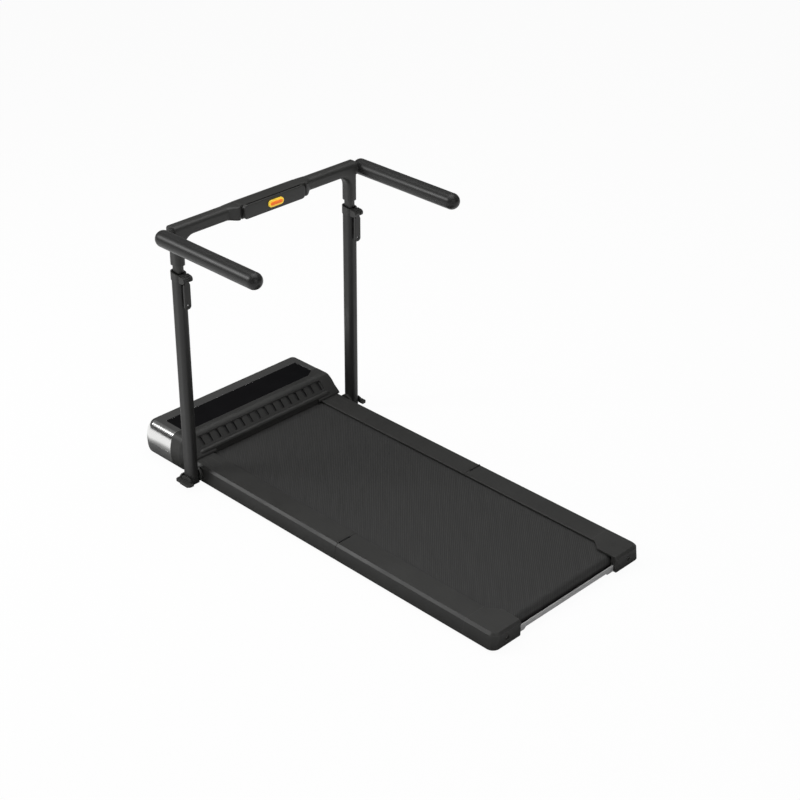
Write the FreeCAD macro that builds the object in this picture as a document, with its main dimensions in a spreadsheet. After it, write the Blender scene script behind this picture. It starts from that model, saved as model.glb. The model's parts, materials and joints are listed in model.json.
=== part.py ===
"""Folding walking pad with a folding, height-adjustable handrail.

Millimetres, +Z up, +Y forward in the walking direction, +X to the walker's right. The origin is on the
floor, under the middle of the overall length. Heights are measured from the floor, and distances along
the deck from the fold seam between its two halves.
"""
import FreeCAD, Part
import math
import os
from types import SimpleNamespace

import Sketcher

DIMENSIONS = {
    # Deck: two halves that meet at the fold seam
    "front_length": 820.0,
    "rear_length": 576.0,
    "deck_half_width": 290.0,
    "seam_gap": 1.5,
    "rail_top": 54.0,
    "rail_bottom": 7.5,
    "rail_flange": 74.0,
    "rail_flange_thick": 4.5,
    "rail_wall": 3.0,
    "rail_edge_radius": 2.5,
    "rail_chamfer": 7.0,
    "rail_draft": 6.0,
    "rail_to_nose": 208.0,
    "insert_length": 50.0,
    "insert_width": 26.0,
    "insert_depth": 1.5,
    "insert_to_nose": 264.0,
    # Steel frame under the rails
    "frame_inset": 42.0,
    "frame_width": 28.0,
    "frame_wall": 2.0,
    "frame_to_nose": 134.0,
    "frame_to_tail": 16.0,
    "cross_bottom": 14.0,
    "cross_width": 40.0,
    "nose_cross_top": 16.0,
    "nose_cross_width": 14.0,
    # Running board and belt
    "board_inset": 64.0,
    "board_top": 44.5,
    "board_thick": 15.0,
    "board_to_nose": 208.0,
    "board_to_tail": 62.0,
    "belt_inset": 70.0,
    "belt_thick": 1.8,
    "belt_seam_gap": 0.8,
    "roller_radius": 17.0,
    "roller_belt_gap": 0.3,
    "roller_inset": 67.0,
    "roller_to_nose": 180.0,
    "roller_to_tail": 41.0,
    "axle_radius": 6.0,
    "bearing_width": 9.0,
    "bearing_size": 32.0,
    "running_gap": 0.05,
    # Bottom pan and feet
    "pan_thick": 1.5,
    "pan_inset": 16.0,
    "foot_radius": 15.0,
    "foot_inset": 35.0,
    # Fold hinge
    "hinge_rise": 0.5,
    "hinge_inset": 52.0,
    "hinge_width": 44.0,
    "leaf_thick": 2.5,
    "leaf_bottom": 12.0,
    "knuckle_radius": 2.6,
    "knuckle_gap": 0.4,
    "hinge_pin_radius": 1.5,
    # Rear end
    "cap_length": 106.0,
    "cap_inset": 98.0,
    "cap_wall": 3.0,
    "cap_corner_radius": 22.0,
    "cap_step_front": 96.0,
    "cap_step_rear": 68.0,
    "bolt_hole_radius": 6.0,
    "bolt_radius": 4.0,
    "bar_thick": 4.0,
    "bar_top": 15.0,
    "bar_inset": 2.0,
    "bar_tab_width": 24.0,
    "bar_tab_top": 30.0,
    # Motor housing
    "housing_flare": 13.0,
    "housing_top": 110.0,
    "housing_bottom": 5.0,
    "housing_wall": 3.0,
    "waist_height": 53.0,
    "shoulder_reach": 27.0,
    "belly_reach": 14.0,
    "nose_tuck": 12.0,
    "flank_radius": 20.0,
    "nose_corner_radius": 34.0,
    "brow_radius": 25.0,
    "hood_seat_gap": 0.3,
    "toe_to_nose": 229.0,
    "flank_start_to_nose": 206.0,
    "flank_full_to_nose": 172.0,
    "trim_to_nose": 132.0,
    "parting_height": 48.0,
    "parting_gap": 0.4,
    "mouth_inset": 85.0,
    "mouth_depth": 9.0,
    "lip_bottom": 48.0,
    "lip_thick": 5.0,
    "toe_blunt": 4.0,
    "toe_radius": 7.0,
    "roll_radius": 16.0,
    # Vent grille in the hood's rear slope
    "vent_rise": 34.5,
    "vent_inset": 57.0,
    "vent_height": 33.0,
    "vent_thick": 2.5,
    "vent_flange": 4.0,
    "vent_fit": 0.3,
    "vent_corner": 8.0,
    "slot_count": 16,
    "slot_width": 11.5,
    "slot_height": 28.0,
    "slot_margin": 26.0,
    # Display
    "display_inset": 46.0,
    "display_rear_to_nose": 150.0,
    "display_front_to_nose": 59.0,
    "display_cut_x": 29.0,
    "display_cut_y": 17.0,
    "display_thick": 3.5,
    "display_fit": 0.3,
    "tongue_thick": 3.0,
    "tongue_margin": 6.0,
    # Drive
    "motor_to_nose": 85.0,
    "motor_z": 50.0,
    "motor_radius": 34.0,
    "motor_inset": 100.0,
    "motor_length": 140.0,
    "motor_pulley_radius": 9.0,
    "roller_pulley_radius": 15.0,
    "pulley_width": 13.0,
    "pulley_gap": 2.0,
    "shaft_radius": 5.0,
    "shaft_grip": 20.0,
    "flywheel_radius": 30.0,
    "flywheel_width": 22.0,
    "flywheel_gap": 6.0,
    "drive_belt_thick": 2.5,
    "drive_belt_gap": 0.35,
    "bracket_width": 80.0,
    "controller_x": 10.0,
    "controller_width": 180.0,
    "controller_length": 86.0,
    "controller_height": 36.0,
    "controller_inset": 34.0,
    "fin_height": 10.0,
    "fin_thick": 3.0,
    "fin_count": 9,
    # Power inlet and switch in the nose
    "inlet_x": -150.0,
    "socket_z": 36.0,
    "inlet_width": 28.0,
    "inlet_height": 20.0,
    "inlet_depth": 18.0,
    "inlet_wall": 2.0,
    "inlet_pin_width": 2.0,
    "switch_x": -108.0,
    "switch_width": 15.0,
    "switch_height": 22.5,
    "rocker_width": 10.0,
    "rocker_half_height": 7.5,
    "rocker_tilt": 7.0,
    "rocker_pivot_depth": 8.0,
    "rocker_pin_radius": 1.5,
    "socket_fit": 0.2,
    # Transport wheels
    "wheel_inset": 88.0,
    "wheel_to_nose": 34.0,
    "wheel_z": 16.5,
    "wheel_radius": 14.0,
    "wheel_width": 11.0,
    "wheel_pin_radius": 3.0,
    "wheel_cheek_gap": 1.0,
    "wheel_cheek": 3.0,
    # Handrail posts and their feet
    "post_outset": 30.0,
    "post_to_nose": 247.0,
    "post_width": 32.0,
    "post_depth": 40.0,
    "post_radius": 13.0,
    "post_wall": 2.5,
    "post_top": 658.0,
    "shoe_top": 75.0,
    "pivot_z": 28.0,
    "fold_pin_radius": 8.0,
    "bracket_inner_gap": 0.3,
    "bracket_post_gap": 0.6,
    "bracket_cheek_top": 52.0,
    "bracket_floor": 6.0,
    "bracket_wall": 5.0,
    "bracket_front_top": 33.0,
    "bracket_stop_gap": 1.5,
    "bracket_side_top": 22.0,
    "bracket_hump_top": 36.0,
    "bracket_floor_back": 6.0,
    "pedal_reach": 18.0,
    "pedal_length": 64.0,
    "pedal_thick": 6.0,
    "pedal_corner": 9.0,
    # Telescopic tubes and clamps
    "tube_width": 23.0,
    "tube_depth": 30.0,
    "tube_radius": 8.5,
    "tube_wall": 2.0,
    "tube_bottom": 500.0,
    "tube_socket": 45.0,
    "slide_gap": 0.3,
    "bush_bottom": 600.0,
    "collar_bottom": 656.0,
    "collar_top": 681.0,
    "collar_wall": 2.0,
    "ear_thick": 8.0,
    "ear_spread": 16.0,
    "ear_radius": 9.0,
    "lever_pivot_back": 32.0,
    "lever_pivot_z": 665.0,
    "lever_pin_radius": 3.0,
    "lever_eye_radius": 7.0,
    "lever_length": 89.0,
    "lever_width": 22.0,
    "lever_thick": 7.0,
    "lever_hole_radius": 4.5,
    # Crossbar, arms and console
    "elbow_bottom": 700.5,
    "bar_centre_z": 797.5,
    "bar_height": 37.5,
    "elbow_inner_radius": 34.0,
    "elbow_outer_radius": 16.0,
    "bar_round": 13.0,
    "boss_radius": 18.5,
    "boss_gap": 0.4,
    "arm_outset": 74.0,
    "arm_z": 790.0,
    "arm_radius": 23.8,
    "arm_length": 362.0,
    "arm_setback": 4.0,
    "arm_pin_radius": 6.0,
    "arm_pin_grip": 22.0,
    "console_half_width": 112.0,
    "console_reach": 20.0,
    "console_bottom": 775.0,
    "console_top": 821.0,
    "console_slot_floor": 805.0,
    "console_lip": 4.0,
    "console_corner": 10.0,
    "console_slot": 6.5,
    "groove_width": 12.0,
    "groove_depth": 12.0,
    "shoulder_width": 9.0,
    "sleeve_wall": 1.0,
    "key_length": 54.0,
    "key_height": 20.0,
    "key_thick": 4.0,
    "key_z": 798.5,
    "grip_length": 43.0,
    "grip_height": 9.0,
    "grip_thick": 2.0,
}


class Size:
    """A length that carries its value and the sheet expression that gives it."""

    def __init__(self, text, value):
        self.text = text
        self.value = value

    def __add__(self, other):
        other = size(other)
        return Size(f"({self.text} + {other.text})", self.value + other.value)

    def __sub__(self, other):
        other = size(other)
        return Size(f"({self.text} - {other.text})", self.value - other.value)

    def __mul__(self, other):
        other = size(other)
        return Size(f"({self.text} * {other.text})", self.value * other.value)

    def __truediv__(self, other):
        other = size(other)
        return Size(f"({self.text} / {other.text})", self.value / other.value)

    def __radd__(self, other):
        return size(other) + self

    def __rsub__(self, other):
        return size(other) - self

    def __rmul__(self, other):
        return size(other) * self

    def __neg__(self):
        return self * -1


def size(number):
    """A plain number as a Size; a Size stays as it is."""
    if isinstance(number, Size):
        return number
    return Size(f"({float(number)!r})", float(number))


doc = FreeCAD.newDocument("walking_pad")
sheet = doc.addObject("Spreadsheet::Sheet", "Dims")
for row, (alias, number) in enumerate(DIMENSIONS.items(), start=1):
    sheet.set(f"A{row}", alias)
    sheet.set(f"B{row}", str(number))
    sheet.setAlias(f"B{row}", alias)
doc.recompute()

d = SimpleNamespace(**{alias: Size(f"Dims.{alias}", number) for alias, number in DIMENSIONS.items()})

SIDES = {"left": -1, "right": 1}
SLOPE_THICKENING = math.sqrt(2.0)
OVERLAP = 1.0
SUBPARTS = []

# Heights and places that several pieces share
SEAM = (d.rear_length - d.front_length) / 2
NOSE = SEAM + d.front_length
TAIL = SEAM - d.rear_length
BELT_TOP = d.board_top + d.belt_thick
ROLLER_Z = d.board_top - d.roller_belt_gap - d.roller_radius
WRAP_INNER = d.roller_radius + d.roller_belt_gap
WRAP_OUTER = WRAP_INNER + d.belt_thick
FRAME_TOP = d.rail_top - d.rail_flange_thick
HINGE_Z = d.rail_top + d.hinge_rise
PAN_BOTTOM = d.rail_bottom - d.pan_thick
HOUSING_FLOOR = d.housing_bottom + d.housing_wall
CROSSBAR_TOP = d.bar_centre_z + d.bar_height / 2
CROSSBAR_BOTTOM = d.bar_centre_z - d.bar_height / 2

# Places across the deck, from its sides
RAIL_FOOT_X = d.deck_half_width + d.rail_draft
FRAME_INNER_X = d.deck_half_width - d.frame_inset
FRAME_OUTER_X = FRAME_INNER_X + d.frame_width
BOARD_HALF = d.deck_half_width - d.board_inset
BELT_HALF = d.deck_half_width - d.belt_inset
ROLLER_HALF = d.deck_half_width - d.roller_inset
PAN_HALF = d.deck_half_width - d.pan_inset
FOOT_X = d.deck_half_width - d.foot_inset
HINGE_INNER_X = d.deck_half_width - d.hinge_inset
CAP_INNER_X = d.deck_half_width - d.cap_inset
MOUTH_HALF = d.deck_half_width - d.mouth_inset
MOTOR_LEFT = d.motor_inset - d.deck_half_width
HOUSING_HALF = d.deck_half_width + d.housing_flare
VENT_HALF = HOUSING_HALF - d.vent_inset
DISPLAY_HALF = HOUSING_HALF - d.display_inset
WHEEL_X = HOUSING_HALF - d.wheel_inset
POST_X = d.deck_half_width + d.post_outset
ARM_X = d.deck_half_width + d.arm_outset

# Places along the deck, from its nose and its tail
RAIL_END = NOSE - d.rail_to_nose
INSERT_Y = NOSE - d.insert_to_nose
FRAME_FRONT = NOSE - d.frame_to_nose
FRAME_REAR = TAIL + d.frame_to_tail
BOARD_FRONT = NOSE - d.board_to_nose
BOARD_REAR = TAIL + d.board_to_tail
FRONT_ROLLER = NOSE - d.roller_to_nose
REAR_ROLLER = TAIL + d.roller_to_tail
CAP_START = TAIL + d.cap_length
TOE = NOSE - d.toe_to_nose
FLANK_START = NOSE - d.flank_start_to_nose
FLANK_FULL = NOSE - d.flank_full_to_nose
TRIM_LINE = NOSE - d.trim_to_nose
DISPLAY_REAR = NOSE - d.display_rear_to_nose
DISPLAY_FRONT = NOSE - d.display_front_to_nose
MOTOR_Y = NOSE - d.motor_to_nose
WHEEL_Y = NOSE - d.wheel_to_nose
POST_Y = NOSE - d.post_to_nose
CONSOLE_BACK = POST_Y - d.post_depth / 2 - d.console_reach


# Drawing helpers
PLANES = {"XY": ("XY_Plane", 1), "YZ": ("YZ_Plane", 1), "XZ": ("XZ_Plane", -1)}


def bind(thing, prop, length):
    """Tie one property of a document object to the sheet."""
    thing.setExpression(prop, size(length).text)


def pin_point(sketch, geometry, place, x, y):
    """Hold a sketch point at (x, y) from the sketch origin."""
    for kind, axis, length in (("DistanceX", -2, size(x)), ("DistanceY", -1, size(y))):
        if length.value == 0.0:
            sketch.addConstraint(Sketcher.Constraint("PointOnObject", geometry, place, axis))
        else:
            index = sketch.addConstraint(Sketcher.Constraint(kind, -1, 1, geometry, place, length.value))
            bind(sketch, f"Constraints[{index}]", length)


def draw_circle(sketch, x, y, radius):
    centre = FreeCAD.Vector(size(x).value, size(y).value, 0)
    circle = sketch.addGeometry(Part.Circle(centre, FreeCAD.Vector(0, 0, 1), size(radius).value), False)
    index = sketch.addConstraint(Sketcher.Constraint("Radius", circle, size(radius).value))
    bind(sketch, f"Constraints[{index}]", radius)
    pin_point(sketch, circle, 3, x, y)


def draw_outline(sketch, corners):
    """Closed outline of straight runs; each corner is (x, y, radius), and radius 0 is a sharp one."""
    spots = [FreeCAD.Vector(size(x).value, size(y).value, 0) for x, y, _ in corners]
    radii = [size(radius) for _, _, radius in corners]
    count = len(spots)
    rounds = []
    for i in range(count):
        back = (spots[i - 1] - spots[i]).normalize()
        ahead = (spots[(i + 1) % count] - spots[i]).normalize()
        half = back.getAngle(ahead) / 2
        reach = radii[i].value / math.tan(half)
        heart = spots[i] + (back + ahead).normalize() * (radii[i].value / math.sin(half))
        left_turn = back.cross(ahead).z < 0
        rounds.append((spots[i] + back * reach, spots[i] + ahead * reach, heart, left_turn))
    lines = []
    for i in range(count):
        run = Part.LineSegment(rounds[i][1], rounds[(i + 1) % count][0])
        lines.append(sketch.addGeometry(run, False))
    for i, (x, y, _) in enumerate(corners):
        before = lines[i - 1]
        after = lines[i]
        if radii[i].value == 0.0:
            sketch.addConstraint(Sketcher.Constraint("Coincident", before, 2, after, 1))
            pin_point(sketch, after, 1, x, y)
            continue
        enter, leave, heart, left_turn = rounds[i]
        first, last = (enter, leave) if left_turn else (leave, enter)
        start = math.atan2(first.y - heart.y, first.x - heart.x)
        sweep = (math.atan2(last.y - heart.y, last.x - heart.x) - start) % (2 * math.pi)
        circle = Part.Circle(heart, FreeCAD.Vector(0, 0, 1), radii[i].value)
        arc = sketch.addGeometry(Part.ArcOfCircle(circle, start, start + sweep), False)
        sketch.addConstraint(Sketcher.Constraint("Tangent", before, 2, arc, 1 if left_turn else 2))
        sketch.addConstraint(Sketcher.Constraint("Tangent", after, 1, arc, 2 if left_turn else 1))
        index = sketch.addConstraint(Sketcher.Constraint("Radius", arc, radii[i].value))
        bind(sketch, f"Constraints[{index}]", radii[i])
        tip = sketch.addGeometry(Part.Point(spots[i]), True)
        sketch.addConstraint(Sketcher.Constraint("PointOnObject", tip, 1, before))
        sketch.addConstraint(Sketcher.Constraint("PointOnObject", tip, 1, after))
        pin_point(sketch, tip, 1, x, y)


def new_body(name):
    return doc.addObject("PartDesign::Body", name)


def new_sketch(body, plane, level, outline):
    """Sketch on a plane of the body, moved to a level along that plane's axis."""
    role, sense = PLANES[plane]
    sketch = body.newObject("Sketcher::SketchObject", f"{body.Name}_sketch")
    support = next(item for item in body.Origin.OriginFeatures if item.Role == role)
    sketch.AttachmentSupport = (support, [""])
    sketch.MapMode = "FlatFace"
    bind(sketch, "AttachmentOffset.Base.z", size(level) * sense)
    if isinstance(outline, tuple):
        draw_circle(sketch, *outline)
    else:
        draw_outline(sketch, outline)
    return sketch


def pad(body, plane, outline, low, high):
    """Add the outline, drawn on a plane, from low to high along that plane's axis."""
    level = low if PLANES[plane][1] > 0 else high
    feature = body.newObject("PartDesign::Pad", f"{body.Name}_pad")
    feature.Profile = new_sketch(body, plane, level, outline)
    bind(feature, "Length", size(high) - size(low))
    body.Tip = feature
    return feature


def pocket(body, plane, outline, low, high):
    """Take the outline away from low to high, and make sure that it did cut."""
    doc.recompute()
    before = body.Shape.Volume
    level = high if PLANES[plane][1] > 0 else low
    feature = body.newObject("PartDesign::Pocket", f"{body.Name}_pocket")
    feature.Profile = new_sketch(body, plane, level, outline)
    bind(feature, "Length", size(high) - size(low))
    body.Tip = feature
    doc.recompute()
    if not body.Shape.Volume < before:
        raise RuntimeError(f"a pocket of {body.Name} cuts nothing")
    return feature


def prism(name, plane, outline, low, high):
    body = new_body(name)
    pad(body, plane, outline, low, high)
    return body


def loft(kind, body, sections, straight=True):
    """Loft through (level, outline) sections; kind is Additive or Subtractive, straight-sided or smooth."""
    sketches = [new_sketch(body, "XY", level, outline) for level, outline in sections]
    feature = body.newObject(f"PartDesign::{kind}Loft", f"{body.Name}_loft")
    feature.Profile = sketches[0]
    feature.Sections = sketches[1:]
    feature.Ruled = straight
    body.Tip = feature


def round_edges(body, radius, chosen):
    """Fillet the edges of a body that the chosen test picks."""
    doc.recompute()
    names = [f"Edge{i}" for i, edge in enumerate(body.Shape.Edges, start=1) if chosen(edge)]
    base = body.Tip
    feature = body.newObject("PartDesign::Fillet", f"{body.Name}_round")
    feature.Base = (base, names)
    bind(feature, "Radius", radius)
    body.Tip = feature


def repeat(body, feature, direction, span, count):
    """Row of a pad or pocket along an axis of its own sketch."""
    row_of = body.newObject("PartDesign::LinearPattern", f"{body.Name}_row")
    row_of.Originals = [feature]
    row_of.Direction = (feature.Profile[0], [direction])
    bind(row_of, "Length", span)
    bind(row_of, "Occurrences", count)
    body.Tip = row_of


def combine(kind, name, first, *others):
    """Chain of booleans: kind is Cut, Fuse or Common."""
    result = first
    for other in others:
        step = doc.addObject(f"Part::{kind}", f"{name}_{kind.lower()}")
        step.Base = result
        step.Tool = other
        result = step
    return result


def box(name, x, y, z):
    """Part::Box between (low, high) pairs along each axis."""
    block = doc.addObject("Part::Box", name)
    for prop, span in (("Length", x), ("Width", y), ("Height", z)):
        bind(block, prop, size(span[1]) - size(span[0]))
    for axis, span in (("x", x), ("y", y), ("z", z)):
        bind(block, f"Placement.Base.{axis}", span[0])
    return block


def group(name, pieces):
    """Several separate solids kept under one name."""
    bundle = doc.addObject("Part::Compound", name)
    bundle.Links = pieces
    return bundle


def publish(piece, label):
    """Name a finished sub-part."""
    piece.Label = label
    SUBPARTS.append(piece)


def rectangle(low_x, high_x, low_y, high_y, radius=0):
    return [(low_x, low_y, radius), (high_x, low_y, radius),
            (high_x, high_y, radius), (low_x, high_y, radius)]


def rounded_section(centre_x, centre_y, width, depth, radius):
    half_width = width / 2
    half_depth = depth / 2
    return rectangle(centre_x - half_width, centre_x + half_width,
                     centre_y - half_depth, centre_y + half_depth, radius)


# Deck sides
def rail_outline(sign):
    """Section of a rail: flat top, bevelled shoulder and a side that leans out to its foot."""
    shoulder = d.rail_top - d.rail_chamfer
    inner = d.deck_half_width - d.rail_flange
    lean = d.rail_wall * SLOPE_THICKENING
    section = [(inner, d.rail_top, d.rail_wall / 2),
               (d.deck_half_width - d.rail_chamfer, d.rail_top, d.rail_edge_radius),
               (d.deck_half_width, shoulder, d.rail_edge_radius),
               (RAIL_FOOT_X, d.rail_bottom, 0), (RAIL_FOOT_X - d.rail_wall, d.rail_bottom, 0),
               (d.deck_half_width - d.rail_wall, shoulder + d.rail_wall - lean, 0),
               (d.deck_half_width - d.rail_chamfer + d.rail_flange_thick - lean, FRAME_TOP, 0),
               (inner, FRAME_TOP, 0)]
    return [(sign * x, z, radius) for x, z, radius in section]


def side_span(sign, low, high):
    """A span given outwards from the middle, as a low to high span on one side."""
    return (low, high) if sign > 0 else (-high, -low)


def hinge_notch(sign, low, high):
    low_x, high_x = side_span(sign, HINGE_INNER_X - d.knuckle_gap,
                              HINGE_INNER_X + d.hinge_width + d.knuckle_gap)
    return rectangle(low_x, high_x, low, high)


def make_rails():
    notch = d.seam_gap / 2 + d.leaf_thick + d.knuckle_gap
    for side, sign in SIDES.items():
        front = prism(f"rail_front_{side}", "XZ", rail_outline(sign), SEAM + d.seam_gap / 2,
                      RAIL_END)
        pocket(front, "XY", hinge_notch(sign, SEAM, SEAM + notch), FRAME_TOP, d.rail_top)
        middle = sign * (d.deck_half_width - d.rail_flange / 2)
        pocket(front, "XY", rounded_section(middle, INSERT_Y, d.insert_width + d.display_fit,
                                            d.insert_length + d.display_fit, d.insert_depth),
               d.rail_top - d.insert_depth, d.rail_top)
        publish(front, f"rail_front_{side}")
        rear = prism(f"rail_rear_{side}", "XZ", rail_outline(sign), CAP_START, SEAM - d.seam_gap / 2)
        pocket(rear, "XY", hinge_notch(sign, SEAM - notch, SEAM), FRAME_TOP, d.rail_top)
        publish(rear, f"rail_rear_{side}")


def make_rail_inserts():
    inserts = []
    for side, sign in SIDES.items():
        middle = sign * (d.deck_half_width - d.rail_flange / 2)
        inserts.append(prism(f"insert_{side}", "XY",
                             rounded_section(middle, INSERT_Y, d.insert_width, d.insert_length,
                                             d.insert_depth),
                             d.rail_top - d.insert_depth, d.rail_top))
    publish(group("inserts", inserts), "rail_inserts")


def side_tube(name, sign, low, high):
    low_x, high_x = side_span(sign, FRAME_INNER_X, FRAME_OUTER_X)
    tube = prism(name, "XZ", rectangle(low_x, high_x, d.rail_bottom, FRAME_TOP), low, high)
    pocket(tube, "XZ", rectangle(low_x + d.frame_wall, high_x - d.frame_wall,
                                 d.rail_bottom + d.frame_wall, FRAME_TOP - d.frame_wall), low, high)
    return tube


def cross_tube(name, middle, half_depth, low, high):
    """Square tube across the deck between the side tubes."""
    tube = prism(name, "YZ", rectangle(middle - half_depth, middle + half_depth, low, high),
                 -FRAME_INNER_X, FRAME_INNER_X)
    pocket(tube, "YZ", rectangle(middle - half_depth + d.frame_wall, middle + half_depth - d.frame_wall,
                                 low + d.frame_wall, high - d.frame_wall),
           -FRAME_INNER_X, FRAME_INNER_X)
    return tube


def make_frames():
    """Welded frames: side tubes joined by cross tubes that carry the running board."""
    board_bottom = d.board_top - d.board_thick
    leaf_face = d.seam_gap / 2 + d.leaf_thick
    half = d.cross_width / 2
    front = [side_tube(f"frame_front_{side}", sign, SEAM + leaf_face, FRAME_FRONT)
             for side, sign in SIDES.items()]
    front_places = (SEAM + d.cross_width * 1.5, (SEAM + BOARD_FRONT) / 2,
                    BOARD_FRONT - d.cross_width)
    front += [cross_tube("frame_front_cross", place, half, d.cross_bottom, board_bottom)
              for place in front_places]
    front.append(cross_tube("frame_nose_cross", FRAME_FRONT - d.nose_cross_width / 2,
                            d.nose_cross_width / 2, d.rail_bottom, d.nose_cross_top))
    publish(combine("Fuse", "frame_front", *front), "frame_front")
    rear = [side_tube(f"frame_rear_{side}", sign, FRAME_REAR, SEAM - leaf_face)
            for side, sign in SIDES.items()]
    rear_places = (SEAM - d.cross_width * 1.5, (SEAM + BOARD_REAR) / 2,
                   BOARD_REAR + d.cross_width)
    rear += [cross_tube("frame_rear_cross", place, half, d.cross_bottom, board_bottom)
             for place in rear_places]
    publish(combine("Fuse", "frame_rear", *rear), "frame_rear")


def make_boards():
    board = rectangle(-BOARD_HALF, BOARD_HALF, d.board_top - d.board_thick, d.board_top)
    publish(prism("board_front", "XZ", board, SEAM + d.seam_gap, BOARD_FRONT), "running_board_front")
    publish(prism("board_rear", "XZ", board, BOARD_REAR, SEAM - d.seam_gap), "running_board_rear")


def belt_loop(toward, roller_y):
    """Half of the belt from the seam, round its roller and back under the board."""
    start = SEAM + toward * d.belt_seam_gap / 2
    outer_y = roller_y + toward * WRAP_OUTER
    inner_y = roller_y + toward * WRAP_INNER
    low = ROLLER_Z - WRAP_OUTER
    outer_bend = WRAP_OUTER * 0.995
    inner_bend = WRAP_INNER * 0.995
    return [(start, BELT_TOP, 0), (outer_y, BELT_TOP, outer_bend),
            (outer_y, low, outer_bend), (start, low, 0),
            (start, low + d.belt_thick, 0), (inner_y, low + d.belt_thick, inner_bend),
            (inner_y, d.board_top, inner_bend), (start, d.board_top, 0)]


def make_belt():
    for name, toward, roller_y in (("belt_front", 1, FRONT_ROLLER), ("belt_rear", -1, REAR_ROLLER)):
        publish(prism(name, "YZ", belt_loop(toward, roller_y), -BELT_HALF, BELT_HALF), name)


def make_pans():
    for name, low, high in (("pan_front", SEAM + d.seam_gap, FRAME_FRONT),
                            ("pan_rear", FRAME_REAR, SEAM - d.seam_gap)):
        publish(prism(name, "XY", rectangle(-PAN_HALF, PAN_HALF, low, high, d.foot_radius),
                      PAN_BOTTOM, d.rail_bottom), name)


def make_feet():
    """Rubber feet under the pans, slightly coned."""
    places = {"feet_front": (SEAM + d.foot_radius * 3, FRAME_FRONT - d.foot_radius * 2),
              "feet_rear": (SEAM - d.foot_radius * 3, FRAME_REAR + d.foot_radius * 2)}
    for name, spots in places.items():
        feet = []
        for y in spots:
            for sign in SIDES.values():
                foot = doc.addObject("Part::Cone", f"{name}_foot")
                bind(foot, "Radius1", d.foot_radius - d.pan_thick)
                bind(foot, "Radius2", d.foot_radius)
                bind(foot, "Height", PAN_BOTTOM)
                bind(foot, "Placement.Base.x", sign * FOOT_X)
                bind(foot, "Placement.Base.y", y)
                feet.append(foot)
        publish(group(name, feet), name)


# Fold hinge
def knuckle_spans():
    """Spans of the three knuckles along the hinge: the outer two belong to the front leaf."""
    first = HINGE_INNER_X
    width = d.hinge_width / 4
    last = HINGE_INNER_X + d.hinge_width
    return ((first, first + width), (last - width, last)), ((first + width + d.knuckle_gap,
                                                             last - width - d.knuckle_gap),)


def hinge_leaf(name, sign, toward, spans, bore):
    near = SEAM + toward * d.seam_gap / 2
    far = near + toward * d.leaf_thick
    low_y, high_y = (near, far) if toward > 0 else (far, near)
    leaf = prism(name, "YZ", rectangle(low_y, high_y, d.leaf_bottom, FRAME_TOP),
                 *side_span(sign, HINGE_INNER_X, HINGE_INNER_X + d.hinge_width))
    for span in spans:
        low_x, high_x = side_span(sign, *span)
        pad(leaf, "YZ", rectangle(low_y, high_y, FRAME_TOP - OVERLAP, HINGE_Z), low_x, high_x)
        pad(leaf, "YZ", (SEAM, HINGE_Z, d.knuckle_radius), low_x, high_x)
        pocket(leaf, "YZ", (SEAM, HINGE_Z, bore), low_x, high_x)
    return leaf


def make_fold_hinge():
    front_spans, rear_spans = knuckle_spans()
    front = []
    rear = []
    pins = []
    for side, sign in SIDES.items():
        front.append(hinge_leaf(f"leaf_front_{side}", sign, 1, front_spans, d.hinge_pin_radius))
        knuckle_bore = d.hinge_pin_radius + d.running_gap
        rear.append(hinge_leaf(f"leaf_rear_{side}", sign, -1, rear_spans, knuckle_bore))
        pins.append(prism(f"hinge_pin_{side}", "YZ", (SEAM, HINGE_Z, d.hinge_pin_radius),
                          *side_span(sign, HINGE_INNER_X, HINGE_INNER_X + d.hinge_width)))
    publish(group("leaves_front", front), "hinge_leaves_front")
    publish(group("leaves_rear", rear), "hinge_leaves_rear")
    publish(group("pins", pins), "hinge_pins")


# Rollers and their bearings
def make_rollers():
    journal = d.axle_radius
    bearing_inner = FRAME_INNER_X - d.bearing_width
    pulley_inner = ROLLER_HALF + d.pulley_gap
    for name, y in (("front_roller", FRONT_ROLLER), ("rear_roller", REAR_ROLLER)):
        roller = prism(name, "YZ", (y, ROLLER_Z, d.roller_radius), -ROLLER_HALF, ROLLER_HALF)
        pad(roller, "YZ", (y, ROLLER_Z, journal), -FRAME_INNER_X + OVERLAP, FRAME_INNER_X - OVERLAP)
        if name == "front_roller":
            pad(roller, "YZ", (y, ROLLER_Z, d.roller_pulley_radius),
                -pulley_inner - d.pulley_width, -pulley_inner)
        publish(roller, name)
    half = d.bearing_size / 2
    for name, y in (("front_bearings", FRONT_ROLLER), ("rear_bearings", REAR_ROLLER)):
        blocks = []
        for side, sign in SIDES.items():
            low_x, high_x = side_span(sign, bearing_inner + OVERLAP, FRAME_INNER_X)
            block = prism(f"{name}_{side}", "YZ",
                          rectangle(y - half, y + half,
                                    ROLLER_Z - half / 2, ROLLER_Z + half / 2, d.rail_wall),
                          low_x, high_x)
            pocket(block, "YZ", (y, ROLLER_Z, journal + d.running_gap), low_x, high_x)
            blocks.append(block)
        publish(group(name, blocks), name)


# Rear end
def cap_plan(sign, out, back):
    """Plan of a rear cap at one level: out is its side, back is its rear face from the tail."""
    rail_inner = d.deck_half_width - d.rail_flange
    step = (d.cap_step_front - d.cap_step_rear) / 2
    return [(sign * rail_inner, CAP_START, 0), (sign * out, CAP_START, 0),
            (sign * out, TAIL + back, d.cap_corner_radius - back),
            (sign * CAP_INNER_X, TAIL + back, d.cap_wall),
            (sign * CAP_INNER_X, TAIL + d.cap_step_rear, step * 0.8),
            (sign * rail_inner, TAIL + d.cap_step_front, step * 0.8)]


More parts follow.
